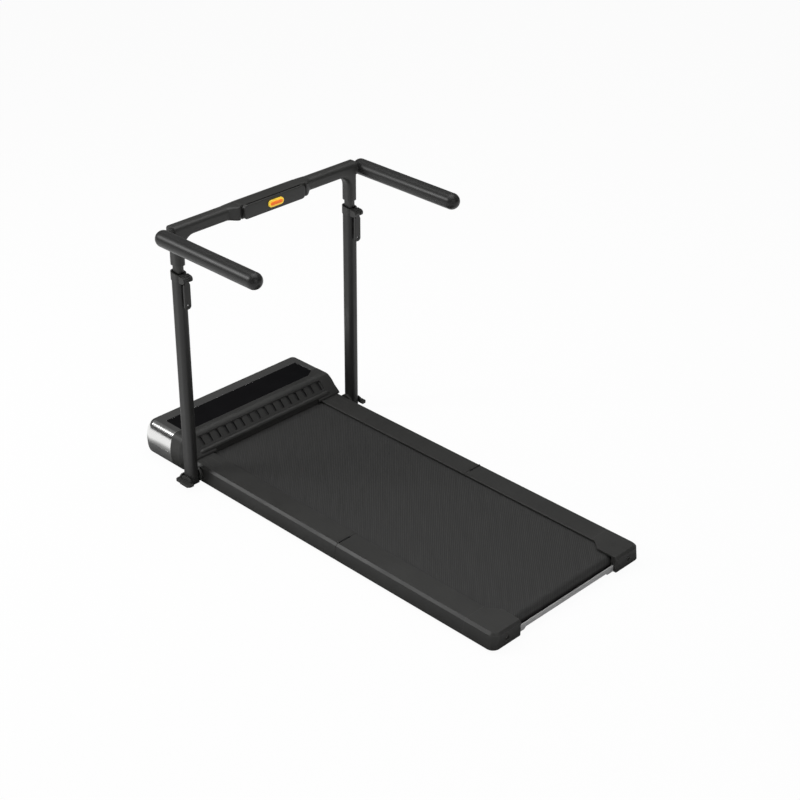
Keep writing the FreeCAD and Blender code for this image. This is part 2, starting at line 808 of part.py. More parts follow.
def cap_hollow(sign, out, back):
    """Plan of the space inside a rear cap at one level."""
    belt_end = REAR_ROLLER - WRAP_OUTER - d.cap_wall
    return [(sign * (CAP_INNER_X - d.cap_wall), CAP_START + OVERLAP, 0),
            (sign * out, CAP_START + OVERLAP, 0),
            (sign * out, TAIL + back, d.cap_corner_radius - back),
            (sign * (CAP_INNER_X + d.cap_wall), TAIL + back, 0),
            (sign * (CAP_INNER_X + d.cap_wall), belt_end, 0),
            (sign * (CAP_INNER_X - d.cap_wall), belt_end, 0)]


def make_rear_caps():
    """Hollow end caps that carry the rails' section round the deck's rear corners."""
    shoulder = d.rail_top - d.rail_chamfer
    lean = d.cap_wall * SLOPE_THICKENING
    side = d.deck_half_width
    inner_shoulder = shoulder + d.cap_wall - lean
    bevel = d.rail_chamfer - d.rail_flange_thick + lean
    for side_name, sign in SIDES.items():
        cap = new_body(f"rear_cap_{side_name}")
        loft("Additive", cap, [(d.rail_bottom, cap_plan(sign, RAIL_FOOT_X, size(0))),
                               (shoulder, cap_plan(sign, side, size(0))),
                               (d.rail_top, cap_plan(sign, side - d.rail_chamfer, d.rail_chamfer))])
        loft("Subtractive", cap, [(d.rail_bottom, cap_hollow(sign, RAIL_FOOT_X - d.cap_wall, d.cap_wall)),
                                  (inner_shoulder, cap_hollow(sign, side - d.cap_wall, d.cap_wall)),
                                  (FRAME_TOP, cap_hollow(sign, side - bevel, bevel))])
        pocket(cap, "XZ", (sign * bolt_x(), ROLLER_Z, d.bolt_hole_radius), TAIL, TAIL + d.cap_wall)
        publish(cap, f"rear_cap_{side_name}")


def bolt_x():
    return FRAME_INNER_X - d.bearing_width / 2


def make_rear_bar():
    """Grey plate between the rear caps: low in the middle, a tab at each end, a flange at its foot."""
    back = TAIL + d.bar_inset
    foot = d.rail_bottom
    reach = REAR_ROLLER - WRAP_OUTER - d.bar_thick
    profile = [(back, foot, 0), (reach, foot, 0), (reach, foot + d.frame_wall, 0),
               (back + d.bar_thick, foot + d.frame_wall, 0), (back + d.bar_thick, d.bar_top, 0),
               (back, d.bar_top, 0)]
    bar = prism("rear_bar", "YZ", profile, -CAP_INNER_X, CAP_INNER_X)
    for sign in SIDES.values():
        tab_inner = sign * (CAP_INNER_X - d.bar_tab_width)
        tab_outer = sign * CAP_INNER_X
        tab_foot = d.bar_top - OVERLAP
        pad(bar, "XZ", [(tab_inner - sign * d.bar_tab_width / 2, tab_foot, 0), (tab_outer, tab_foot, 0),
                        (tab_outer, d.bar_tab_top, 0), (tab_inner, d.bar_tab_top, d.bar_thick)],
            back, back + d.bar_thick)
    publish(bar, "rear_crossbar")


def make_tension_bolts():
    """Belt tension bolts, from just inside the holes of the rear caps to the bearing blocks."""
    bolts = []
    head_end = TAIL + d.cap_wall + d.bolt_radius
    block_face = REAR_ROLLER - d.bearing_size / 2
    for side, sign in SIDES.items():
        bolt = prism(f"bolt_{side}", "XZ", (sign * bolt_x(), ROLLER_Z, d.bolt_radius), head_end, block_face)
        pad(bolt, "XZ", (sign * bolt_x(), ROLLER_Z, d.bolt_radius * 1.6), TAIL + d.cap_wall, head_end)
        bolts.append(bolt)
    publish(group("bolts", bolts), "tension_bolts")


# Motor housing
def housing_side(inset, rear):
    """Side view: blunt toe, slope at 45 degrees and flat top; inset is the wall taken off."""
    seat = d.rail_top + d.hood_seat_gap
    toe = TOE + inset * SLOPE_THICKENING
    top = d.housing_top - inset
    foot = d.housing_bottom + inset
    nose = NOSE - inset
    return [(toe + d.toe_blunt, seat, 0), (rear, seat, 0), (rear, foot, 0), (nose, foot, 0), (nose, top, 0),
            (toe + (top - seat), top, d.brow_radius - inset),
            (toe + d.toe_blunt, seat + d.toe_blunt, d.toe_radius - inset)]


def housing_plan(inset, side_tuck, nose_tuck):
    """Plan at one level; the tucks are how far the sides and the nose lie inside the widest line."""
    half = HOUSING_HALF - inset - side_tuck
    narrow = d.deck_half_width - inset - side_tuck
    nose = NOSE - inset - nose_tuck
    rear = TOE - d.toe_to_nose / 4
    corner = d.nose_corner_radius - inset - (side_tuck + nose_tuck) / 2
    corners = []
    for sign in (1, -1):
        side = [(sign * narrow, rear, 0), (sign * narrow, FLANK_START, d.flank_radius),
                (sign * half, FLANK_FULL, d.flank_radius), (sign * half, nose, corner)]
        corners += side if sign > 0 else side[::-1]
    return corners


def housing_levels(inset):
    """Sections of the bulging shell from its belly, past the waist, to its shoulder."""
    foot = d.housing_bottom + inset
    top = d.housing_top - inset
    waist = d.waist_height
    sections = []
    for angle, tucked in ((90, 1.0), (72, 0.45), (50, 0.06), (25, 0.0)):
        turn = math.radians(angle)
        sections.append((waist - (waist - foot) * math.sin(turn),
                         housing_plan(inset, d.belly_reach * (1 - math.cos(turn)), d.nose_tuck * tucked)))
    for angle in (0, 20, 42, 62, 78, 90):
        turn = math.radians(angle)
        tuck = d.shoulder_reach * (1 - math.cos(turn))
        sections.append((waist + (top - waist) * math.sin(turn), housing_plan(inset, tuck, tuck)))
    return sections


def housing_block(name, inset, rear):
    """Solid with the housing's side view and its bulging plan, inset by a wall."""
    reach = HOUSING_HALF + OVERLAP
    side = prism(f"{name}_side", "YZ", housing_side(inset, rear), -reach, reach)
    bulge = new_body(f"{name}_bulge")
    loft("Additive", bulge, housing_levels(inset), straight=False)
    return combine("Common", f"{name}_block", bulge, side)


def display_outline(grow):
    half = DISPLAY_HALF + grow
    rear = DISPLAY_REAR - grow
    front = DISPLAY_FRONT + grow
    return [(-half, front, 0), (-half, rear + d.display_cut_y, 0), (-half + d.display_cut_x, rear, 0),
            (half - d.display_cut_x, rear, 0), (half, rear + d.display_cut_y, 0), (half, front, 0)]


def vent_outline(grow):
    half = d.vent_height / 2 + grow
    return rectangle(-VENT_HALF - grow, VENT_HALF + grow, -half, half, d.vent_corner + grow)


def on_slope(body):
    """Stand a body on the middle of the vent, square to the hood's slope."""
    body.Placement = FreeCAD.Placement(FreeCAD.Vector(), FreeCAD.Rotation(FreeCAD.Vector(1, 0, 0), 45))
    bind(body, "Placement.Base.y", TOE + d.vent_rise)
    bind(body, "Placement.Base.z", d.rail_top + d.hood_seat_gap + d.vent_rise)
    return body


def make_housing():
    shell = combine("Cut", "housing_shell", housing_block("housing_outer", size(0), FLANK_START),
                    housing_block("housing_inner", d.housing_wall, TOE - d.housing_wall))
    wide = HOUSING_HALF + OVERLAP
    behind = TOE - d.toe_to_nose / 2
    ahead = NOSE + OVERLAP
    above = d.housing_top + OVERLAP
    seat = prism("display_seat", "XY", display_outline(d.display_fit),
                 d.housing_top - d.display_thick, above)

    rear_half = box("hood_zone", (-wide, wide), (behind, TRIM_LINE), (0, above))
    skin = combine("Common", "hood_skin", shell, rear_half)
    belly = box("hood_belly", (-FRAME_OUTER_X - OVERLAP, FRAME_OUTER_X + OVERLAP),
                (behind, TRIM_LINE + OVERLAP), (0, d.leaf_bottom))
    lip_y = TOE + d.mouth_depth
    lip_top = d.rail_top + d.hood_seat_gap + d.mouth_depth
    roll = d.roll_radius
    mouth = prism("hood_mouth", "YZ",
                  [(behind, 0, 0), (lip_y, 0, 0), (lip_y, lip_top, roll), (lip_y + roll, lip_top + roll, 0),
                   (behind, lip_top + roll, 0)], -MOUTH_HALF, MOUTH_HALF)
    tongue_y = DISPLAY_REAR - d.tongue_margin * 2
    tongue_top = d.housing_top - d.housing_wall
    tongue = box("hood_tongue", (-DISPLAY_HALF - d.tongue_margin, DISPLAY_HALF + d.tongue_margin),
                 (tongue_y, DISPLAY_FRONT + d.tongue_margin),
                 (tongue_top - d.tongue_thick - d.display_fit, tongue_top))
    lip = box("hood_lip", (-MOUTH_HALF, MOUTH_HALF), (lip_y, lip_y + d.lip_thick),
              (d.lip_bottom, lip_top))
    cheek_foot = d.rail_top + d.hood_seat_gap
    cheek_run = d.mouth_depth + d.lip_thick
    toe = TOE
    blunt = d.toe_blunt
    cheeks = [prism(f"hood_cheek_{side}", "YZ",
                    [(toe + blunt, cheek_foot, 0), (toe + cheek_run, cheek_foot, 0),
                     (toe + cheek_run, cheek_foot + cheek_run, 0),
                     (toe + blunt, cheek_foot + blunt, d.toe_radius)],
                    *side_span(sign, MOUTH_HALF, MOUTH_HALF + d.lip_thick))
              for side, sign in SIDES.items()]
    opening = on_slope(prism("vent_opening", "XY", vent_outline(size(0)),
                             -d.vent_height / 2, d.vent_height / 2))
    hood = combine("Fuse", "hood_joined", combine("Cut", "hood_open", skin, belly), tongue, lip, *cheeks)
    publish(combine("Cut", "hood", hood, mouth, seat, opening), "motor_hood")

    upper = box("trim_zone", (-wide, wide), (TRIM_LINE + d.parting_gap, ahead),
                (d.parting_height + d.parting_gap / 2, above))
    publish(combine("Cut", "trim", combine("Common", "trim_skin", shell, upper), seat), "nose_trim")
    lower = box("base_zone", (-wide, wide), (TRIM_LINE + d.parting_gap, ahead),
                (0, d.parting_height - d.parting_gap / 2))
    base = combine("Common", "base_skin", shell, lower)
    base = combine("Cut", "base_open", base, *wheel_wells(), *socket_holes())
    publish(combine("Fuse", "base", base, *wheel_cheeks()), "housing_base")


def make_vent_grille():
    """Slotted plate behind the opening in the hood's slope."""
    front = -d.housing_wall - d.vent_fit
    back = front - d.vent_thick
    grille = prism("vent", "XY", vent_outline(d.vent_flange), back, front)
    row_half = VENT_HALF - d.slot_margin / 2
    first = -row_half
    slot = pocket(grille, "XY",
                  rectangle(first - d.slot_width / 2, first + d.slot_width / 2,
                            -d.slot_height / 2, d.slot_height / 2, d.slot_width / 5), back, front)
    repeat(grille, slot, "H_Axis", row_half * 2, d.slot_count)
    publish(on_slope(grille), "vent_grille")


def make_display():
    publish(prism("display", "XY", display_outline(size(0)),
                  d.housing_top - d.display_thick, d.housing_top),
            "display_panel")


# Power inlet, switch and wheels in the housing base
def socket_holes():
    inlet = box("inlet_hole", (d.inlet_x - d.inlet_width / 2, d.inlet_x + d.inlet_width / 2),
                (NOSE - d.inlet_depth, NOSE + OVERLAP),
                (d.socket_z - d.inlet_height / 2, d.socket_z + d.inlet_height / 2))
    switch = box("switch_hole", (d.switch_x - d.switch_width / 2, d.switch_x + d.switch_width / 2),
                 (NOSE - d.inlet_depth, NOSE + OVERLAP),
                 (d.socket_z - d.switch_height / 2, d.socket_z + d.switch_height / 2))
    return [inlet, switch]


def flush_frame(name, x, width, height, wall, depth):
    """Socket body flush in the nose, with a flange behind the wall and a cavity open to the front."""
    half = width / 2 - d.socket_fit
    tall = height / 2 - d.socket_fit
    face = NOSE - d.socket_fit
    back = NOSE - d.inlet_depth
    frame = prism(name, "XZ", rectangle(x - half, x + half, d.socket_z - tall, d.socket_z + tall),
                  back, face)
    flange = d.inlet_wall + d.socket_fit
    behind = NOSE - d.housing_wall - d.socket_fit
    pad(frame, "XZ", rectangle(x - half - flange, x + half + flange, d.socket_z - tall - flange,
                               d.socket_z + tall + flange), behind - d.inlet_wall, behind)
    pocket(frame, "XZ", rectangle(x - half + wall, x + half - wall, d.socket_z - tall + wall,
                                  d.socket_z + tall - wall, d.socket_fit * 5), face - depth, face)
    return frame


def make_power_inlet():
    inlet = flush_frame("inlet", d.inlet_x, d.inlet_width, d.inlet_height, d.inlet_wall,
                        d.inlet_depth - d.inlet_wall)
    back = NOSE - d.inlet_depth
    for x, z in ((-3, -1), (0, 1), (3, -1)):
        middle = d.inlet_x + x * d.inlet_pin_width
        level = d.socket_z + z * d.inlet_pin_width
        pad(inlet, "XZ", rounded_section(middle, level, d.inlet_pin_width, d.inlet_pin_width * 2,
                                         d.socket_fit), back, NOSE - d.inlet_depth / 3)
    publish(inlet, "power_inlet")


def make_power_switch():
    """Rocker tilted to its off side, in a frame flush with the nose."""
    wall = (d.switch_width - d.rocker_width) / 2 - d.socket_fit * 2
    frame = flush_frame("switch", d.switch_x, d.switch_width, d.switch_height, wall,
                        d.inlet_depth - d.inlet_wall)
    depth = d.rocker_pivot_depth
    half = d.switch_width / 2 - d.socket_fit
    pocket(frame, "YZ", (NOSE - depth, d.socket_z, d.rocker_pin_radius + d.running_gap),
           d.switch_x - half, d.switch_x + half)
    publish(frame, "switch_frame")
    tall = d.rocker_half_height
    rocker = prism("rocker", "YZ",
                   [(-depth / 2, -tall / 2, 0), (depth * 0.75, -tall, d.socket_fit),
                    (depth * 0.55, 0, 0), (depth * 0.75, tall, d.socket_fit), (-depth / 2, tall / 2, 0)],
                   -d.rocker_width / 2, d.rocker_width / 2)
    pad(rocker, "YZ", (0, 0, d.rocker_pin_radius), -half, half)
    tilt = FreeCAD.Rotation(FreeCAD.Vector(1, 0, 0), d.rocker_tilt.value)
    rocker.Placement = FreeCAD.Placement(FreeCAD.Vector(), tilt)
    bind(rocker, "Placement.Rotation.Angle", d.rocker_tilt)
    bind(rocker, "Placement.Base.x", d.switch_x)
    bind(rocker, "Placement.Base.y", NOSE - depth)
    bind(rocker, "Placement.Base.z", d.socket_z)
    publish(rocker, "power_switch")


def wheel_gap():
    """Half of the space between a wheel's two cheeks."""
    return d.wheel_width / 2 + d.wheel_cheek_gap


def wheel_wells():
    half = d.wheel_radius + d.wheel_cheek
    return [box(f"wheel_well_{side}", (sign * WHEEL_X - wheel_gap(), sign * WHEEL_X + wheel_gap()),
                (WHEEL_Y - half, WHEEL_Y + half), (0, HOUSING_FLOOR + OVERLAP))
            for side, sign in SIDES.items()]


def wheel_cheeks():
    """Upright cheeks in the base that hold the wheels' stub axles."""
    y = WHEEL_Y
    half = d.wheel_pin_radius + d.wheel_cheek
    cheeks = []
    for side, sign in SIDES.items():
        for face in (-1, 1):
            near = sign * WHEEL_X + face * wheel_gap()
            far = near + face * d.wheel_cheek
            low, high = (near, far) if face > 0 else (far, near)
            cheek = prism(f"wheel_cheek_{side}", "YZ",
                          [(y - half, HOUSING_FLOOR - OVERLAP, 0), (y + half, HOUSING_FLOOR - OVERLAP, 0),
                           (y + half, d.wheel_z + half, half * 0.9),
                           (y - half, d.wheel_z + half, half * 0.9)],
                          low, high)
            pocket(cheek, "YZ", (y, d.wheel_z, d.wheel_pin_radius + d.running_gap), low, high)
            cheeks.append(cheek)
    return cheeks


def make_wheels():
    y = WHEEL_Y
    half = d.wheel_width / 2
    reach = wheel_gap() + d.wheel_cheek
    for side, sign in SIDES.items():
        middle = sign * WHEEL_X
        wheel = prism(f"wheel_{side}", "YZ", (y, d.wheel_z, d.wheel_radius), middle - half, middle + half)
        round_edges(wheel, d.wheel_cheek / 2, lambda edge: edge.Length > d.wheel_radius.value * 3)
        pad(wheel, "YZ", (y, d.wheel_z, d.wheel_pin_radius), middle - reach, middle + reach)
        publish(wheel, f"wheel_{side}")


# Drive inside the housing
def make_motor():
    y = MOTOR_Y
    right = MOTOR_LEFT + d.motor_length
    motor = prism("motor", "YZ", (y, d.motor_z, d.motor_radius),
                  MOTOR_LEFT + d.shaft_grip, right - d.shaft_grip)
    pad(motor, "YZ", (y, d.motor_z, d.motor_radius - d.housing_wall), MOTOR_LEFT, right)
    pocket(motor, "YZ", (y, d.motor_z, d.shaft_radius + d.running_gap),
           MOTOR_LEFT, MOTOR_LEFT + d.shaft_grip)
    publish(motor, "motor_body")

    half = d.bracket_width / 2
    middle = MOTOR_LEFT + d.motor_length / 2
    saddle = prism("saddle", "YZ",
                   rectangle(y - half, y + half, HOUSING_FLOOR, d.motor_z - d.motor_radius / 2),
                   middle - d.motor_length / 4, middle + d.motor_length / 4)
    pocket(saddle, "YZ", (y, d.motor_z, d.motor_radius + d.running_gap), middle - d.motor_length / 4,
           middle + d.motor_length / 4)
    publish(saddle, "motor_bracket")

    pulley_right = -ROLLER_HALF - d.pulley_gap
    pulley_left = pulley_right - d.pulley_width
    rotor = prism("rotor", "YZ", (y, d.motor_z, d.shaft_radius), pulley_left - d.pulley_gap,
                  MOTOR_LEFT + d.shaft_grip - OVERLAP)
    pad(rotor, "YZ", (y, d.motor_z, d.motor_pulley_radius), pulley_left, pulley_right)
    wheel_right = MOTOR_LEFT - d.flywheel_gap
    pad(rotor, "YZ", (y, d.motor_z, d.flywheel_radius), wheel_right - d.flywheel_width, wheel_right)
    publish(rotor, "motor_rotor")


def make_drive_belt():
    """Ribbed belt from the motor pulley to the front roller's pulley: two arcs and two straight runs."""
    big = FreeCAD.Vector(0, FRONT_ROLLER.value, ROLLER_Z.value)
    small = FreeCAD.Vector(0, (MOTOR_Y).value, d.motor_z.value)
    gap = d.drive_belt_gap.value
    radii = (d.roller_pulley_radius.value + gap, d.motor_pulley_radius.value + gap)

    def loop(grow):
        big_radius = radii[0] + grow
        small_radius = radii[1] + grow
        between = small - big
        heading = math.atan2(between.z, between.y)
        lean = math.acos((big_radius - small_radius) / between.Length)

        def rim(centre, radius, angle):
            return centre + FreeCAD.Vector(0, math.cos(angle), math.sin(angle)) * radius

        upper = heading + lean
        lower = heading - lean
        edges = [Part.Arc(rim(big, big_radius, upper), rim(big, big_radius, heading + math.pi),
                          rim(big, big_radius, lower)),
                 Part.LineSegment(rim(big, big_radius, lower), rim(small, small_radius, lower)),
                 Part.Arc(rim(small, small_radius, lower), rim(small, small_radius, heading),
                          rim(small, small_radius, upper)),
                 Part.LineSegment(rim(small, small_radius, upper), rim(big, big_radius, upper))]
        return Part.Wire([edge.toShape() for edge in edges])

    face = Part.Face(loop(d.drive_belt_thick.value)).cut(Part.Face(loop(0.0)))
    width = d.pulley_width.value - 2 * OVERLAP
    belt = doc.addObject("Part::Feature", "drive_belt_loop")
    belt.Shape = face.extrude(FreeCAD.Vector(width, 0, 0)).Solids[0]
    belt.Placement = FreeCAD.Placement()
    bind(belt, "Placement.Base.x", -ROLLER_HALF - d.pulley_gap - d.pulley_width + OVERLAP)
    publish(belt, "drive_belt")


def make_controller():
    """Motor controller with a finned heat sink on top."""
    rear = NOSE - d.controller_inset - d.controller_length
    right = d.controller_x + d.controller_width
    top = HOUSING_FLOOR + d.controller_height
    board = prism("controller", "XY",
                  rectangle(d.controller_x, right, rear, rear + d.controller_length, d.fin_thick),
                  HOUSING_FLOOR, top)
    fin = pad(board, "XY", rectangle(d.controller_x + d.fin_thick, d.controller_x + d.fin_thick * 2,
                                     rear + d.fin_thick, rear + d.controller_length - d.fin_thick),
              top - OVERLAP, top + d.fin_height)
    repeat(board, fin, "H_Axis", d.controller_width - d.fin_thick * 3, d.fin_count)
    publish(board, "controller_box")


# Handrail feet and posts
def make_foot_brackets():
    """Cast brackets on the deck's sides: a round cheek with the fold pin, a stop and a pedal ledge."""
    stop = POST_Y + d.post_depth / 2 + d.bracket_stop_gap
    front = stop + d.bracket_wall
    rear = POST_Y - d.bracket_floor_back
    inner = RAIL_FOOT_X + d.bracket_inner_gap
    post_inner = POST_X - d.post_width / 2
    post_outer = POST_X + d.post_width / 2
    wall_x = post_outer + d.bracket_stop_gap
    side_x = wall_x + d.bracket_wall
    ledge = d.bracket_side_top
    hump = d.post_depth / 2 + d.bracket_stop_gap
    pins = []
    for side, sign in SIDES.items():
        bracket = prism(f"foot_bracket_{side}", "XY",
                        [(sign * inner, rear, 0), (sign * side_x, rear, 0),
                         (sign * side_x, front, d.pedal_corner), (sign * inner, front, 0)],
                        0, d.bracket_floor)
        pad(bracket, "YZ", [(POST_Y - hump, ledge - d.pedal_thick, 0), (rear, ledge - d.pedal_thick, 0),
                            (rear, 0, 0), (front - d.pedal_corner, 0, 0),
                            (front - d.pedal_corner, d.bracket_hump_top, hump * 0.45),
                            (POST_Y - hump, d.bracket_hump_top, hump * 0.45)],
            *side_span(sign, wall_x, side_x))
        pad(bracket, "XZ", [(sign * inner, 0, 0), (sign * side_x, 0, 0),
                            (sign * side_x, d.bracket_front_top, d.pedal_corner),
                            (sign * inner, d.bracket_front_top, d.pedal_corner)],
            stop, front)
        pedal = d.pedal_length / 2
        pad(bracket, "XY", [(sign * wall_x, POST_Y - pedal, 0),
                            (sign * (wall_x + d.pedal_reach), POST_Y - pedal, d.pedal_corner),
                            (sign * (wall_x + d.pedal_reach), POST_Y + pedal, d.pedal_corner),
                            (sign * wall_x, POST_Y + pedal, 0)], ledge - d.pedal_thick, ledge)
        cheek = side_span(sign, inner, post_inner - d.bracket_post_gap)
        pad(bracket, "YZ", [(POST_Y - hump, d.pivot_z - hump, hump * 0.95), (POST_Y, d.pivot_z - hump, 0),
                            (POST_Y, 0, 0), (stop + OVERLAP, 0, 0),
                            (stop + OVERLAP, d.bracket_cheek_top, hump * 0.95),
                            (POST_Y - hump, d.bracket_cheek_top, hump * 0.95)], *cheek)
        pocket(bracket, "YZ", (POST_Y, d.pivot_z, d.fold_pin_radius), *cheek)
        publish(bracket, f"foot_bracket_{side}")
        pins.append(prism(f"fold_pin_{side}", "YZ", (POST_Y, d.pivot_z, d.fold_pin_radius),
                          *side_span(sign, inner, post_outer)))
    publish(group("fold_pin_pair", pins), "fold_pins")


def make_posts():
    """Flat-oval post tube with a shoe that is round about the fold pivot."""
    half_depth = d.post_depth / 2
    foot = d.pivot_z - half_depth
    for side, sign in SIDES.items():
        x = sign * POST_X
        column = prism(f"shoe_column_{side}", "XY",
                       rounded_section(x, POST_Y, d.post_width, d.post_depth, d.post_radius), 0, d.shoe_top)
        end = prism(f"shoe_end_{side}", "YZ",
                    [(POST_Y - half_depth, foot, half_depth * 0.98),
                     (POST_Y + half_depth, foot, half_depth * 0.98),
                     (POST_Y + half_depth, d.shoe_top, 0), (POST_Y - half_depth, d.shoe_top, 0)],
                    x - d.post_width / 2 - OVERLAP, x + d.post_width / 2 + OVERLAP)
        shoe = combine("Common", f"shoe_{side}", column, end)
        tube = prism(f"post_tube_{side}", "XY",
                     rounded_section(x, POST_Y, d.post_width, d.post_depth, d.post_radius),
                     d.shoe_top, d.post_top)
        pocket(tube, "XY",
               rounded_section(x, POST_Y, d.post_width - d.post_wall * 2, d.post_depth - d.post_wall * 2,
                               d.post_radius - d.post_wall), d.shoe_top, d.post_top)
        bore = prism(f"post_bore_{side}", "YZ", (POST_Y, d.pivot_z, d.fold_pin_radius + d.running_gap),
                     x - d.post_width, x + d.post_width)
        post = combine("Fuse", f"post_joined_{side}", shoe, tube)
        publish(combine("Cut", f"post_{side}", post, bore), f"post_{side}")


# Telescopic tubes, bushes, clamps and levers
def tube_section(sign, grow, radius_grow=None):
    extra = grow if radius_grow is None else radius_grow
    return rounded_section(sign * POST_X, POST_Y, d.tube_width + grow * 2, d.tube_depth + grow * 2,
                           d.tube_radius + extra)


def post_section(sign, grow):
    return rounded_section(sign * POST_X, POST_Y, d.post_width + grow * 2, d.post_depth + grow * 2,
                           d.post_radius + grow)


def make_inner_tubes():
    top = d.elbow_bottom + d.tube_socket
    for side, sign in SIDES.items():
        tube = prism(f"inner_tube_{side}", "XY", tube_section(sign, size(0)), d.tube_bottom, top)
        pocket(tube, "XY", tube_section(sign, -d.tube_wall), d.tube_bottom, top)
        publish(tube, f"inner_tube_{side}")


def make_bushes():
    """Plastic guide bushes between the post tops and the sliding tubes."""
    bushes = []
    for side, sign in SIDES.items():
        outer = post_section(sign, -d.post_wall - d.running_gap)
        bush = prism(f"bush_{side}", "XY", outer, d.bush_bottom, d.lever_pivot_z + d.lever_eye_radius)
        pocket(bush, "XY", tube_section(sign, d.slide_gap), d.bush_bottom,
               d.lever_pivot_z + d.lever_eye_radius)
        bushes.append(bush)
    publish(group("bush_pair", bushes), "slide_bushes")


def ear_spans(x):
    """Spans of a collar's two ears along the lever's pin."""
    half = d.ear_spread / 2
    return (x - half - d.ear_thick, x - half), (x + half, x + half + d.ear_thick)


def make_collars():
    """Clamp collars on the post tops: the top falls back to two round ears with the lever's pin."""
    pivot_y = POST_Y - d.lever_pivot_back
    wall_y = POST_Y - d.post_depth / 2
    front_y = POST_Y + d.post_depth / 2 + d.collar_wall
    tip_y = pivot_y - d.ear_radius
    ear_top = d.lever_pivot_z + d.ear_radius
    roof = d.lever_pivot_z + d.lever_eye_radius + d.slide_gap * 2
    wall_top = ear_top + (d.collar_top - ear_top) * ((wall_y - pivot_y) / (front_y - pivot_y))
    for side, sign in SIDES.items():
        x = sign * POST_X
        collar = prism(f"collar_{side}", "XY", post_section(sign, d.collar_wall),
                       d.collar_bottom, d.collar_top)
        first, last = ear_spans(x)
        pocket(collar, "YZ", [(front_y, d.collar_top, 0), (front_y, d.collar_top + OVERLAP, 0),
                              (tip_y, d.collar_top + OVERLAP, 0), (tip_y, ear_top, 0),
                              (pivot_y, ear_top, 0)], x - d.post_width, x + d.post_width)
        for low, high in (first, last):
            pad(collar, "YZ", [(wall_y, d.collar_bottom, 0), (tip_y, d.collar_bottom, d.ear_radius * 0.95),
                               (tip_y, ear_top, d.ear_radius * 0.95), (pivot_y, ear_top, 0),
                               (wall_y, wall_top, 0)], low, high)
        pad(collar, "YZ", [(wall_y, roof, 0), (pivot_y, roof, 0), (pivot_y, ear_top, 0),
                           (wall_y, wall_top, 0)], first[0], last[1])
        pad(collar, "YZ", (pivot_y, d.lever_pivot_z, d.lever_pin_radius), first[0], last[1])
        pocket(collar, "XY", post_section(sign, d.running_gap), d.collar_bottom, d.post_top + d.running_gap)
        pocket(collar, "XY", post_section(sign, -d.post_wall), d.post_top, d.collar_top)
        publish(collar, f"collar_{side}")


def make_levers():
    """Clamp levers that hang down behind the posts, with an eye on the pin and a hole near the tip."""
    pivot_y = POST_Y - d.lever_pivot_back
    z = d.lever_pivot_z
    neck = d.ear_spread - d.slide_gap * 2
    eye = d.lever_eye_radius
    tip = z - d.lever_length
    widen = d.collar_bottom - d.slide_gap * 4
    for side, sign in SIDES.items():
        x = sign * POST_X
        lever = prism(f"lever_{side}", "XZ",
                      [(x - neck / 2, z, 0), (x + neck / 2, z, 0), (x + neck / 2, widen, eye / 2),
                       (x + d.lever_width / 2, widen - eye, eye / 2),
                       (x + d.lever_width / 2, tip, d.lever_width * 0.45),
                       (x - d.lever_width / 2, tip, d.lever_width * 0.45),
                       (x - d.lever_width / 2, widen - eye, eye / 2), (x - neck / 2, widen, eye / 2)],
                      pivot_y - d.lever_thick / 2, pivot_y + d.lever_thick / 2)
        rims = (pivot_y - d.lever_thick / 2).value, (pivot_y + d.lever_thick / 2).value
        round_edges(lever, d.lever_thick / 4, lambda edge: on_faces(edge, rims, z.value - 0.01))
        pad(lever, "YZ", (pivot_y, z, eye), x - neck / 2, x + neck / 2)
        pocket(lever, "YZ", (pivot_y, z, d.lever_pin_radius + d.running_gap), x - neck / 2, x + neck / 2)
        pocket(lever, "XZ", (x, tip + d.lever_width / 2, d.lever_hole_radius),
               pivot_y - d.lever_thick / 2, pivot_y + d.lever_thick / 2)
        publish(lever, f"lever_{side}")


def on_faces(edge, levels, ceiling):
    """Edges that lie in one of two upright faces, below a ceiling."""
    frame = edge.BoundBox
    flat = any(abs(frame.YMin - y) < 0.01 and abs(frame.YMax - y) < 0.01 for y in levels)
    return flat and frame.ZMin < ceiling


# Crossbar, arms, console and safety key
def make_crossbar():
    outer = POST_X + d.post_width / 2
    inner = POST_X - d.post_width / 2
    front = POST_Y + d.post_depth / 2
    rear = POST_Y - d.post_depth / 2
    outline = []
    for sign in (-1, 1):
        leg = [(sign * inner, CROSSBAR_BOTTOM, d.elbow_inner_radius), (sign * inner, d.elbow_bottom, 0),
               (sign * outer, d.elbow_bottom, 0), (sign * outer, CROSSBAR_TOP, d.elbow_outer_radius)]
        outline += leg if sign < 0 else leg[::-1]
    bar = prism("crossbar_bow", "XZ", outline, rear, front)
    faces = (rear.value, front.value)

    def along_rim(edge):
        frame = edge.BoundBox
        flat = any(abs(frame.YMin - y) < 0.01 and abs(frame.YMax - y) < 0.01 for y in faces)
        return flat and frame.ZMax > d.elbow_bottom.value + 0.01

    round_edges(bar, d.bar_round, along_rim)
    for sign in SIDES.values():
        pocket(bar, "XY", tube_section(sign, d.running_gap), d.elbow_bottom, d.elbow_bottom + d.tube_socket)
    section = rounded_section(POST_Y, d.bar_centre_z, d.post_depth, d.bar_height, d.bar_round)
    ends = [prism(f"crossbar_end_{side}", "YZ", section,
                  *side_span(sign, outer - d.elbow_outer_radius - OVERLAP, outer))
            for side, sign in SIDES.items()]
    publish(combine("Fuse", "crossbar_joined", bar, *ends), "crossbar")


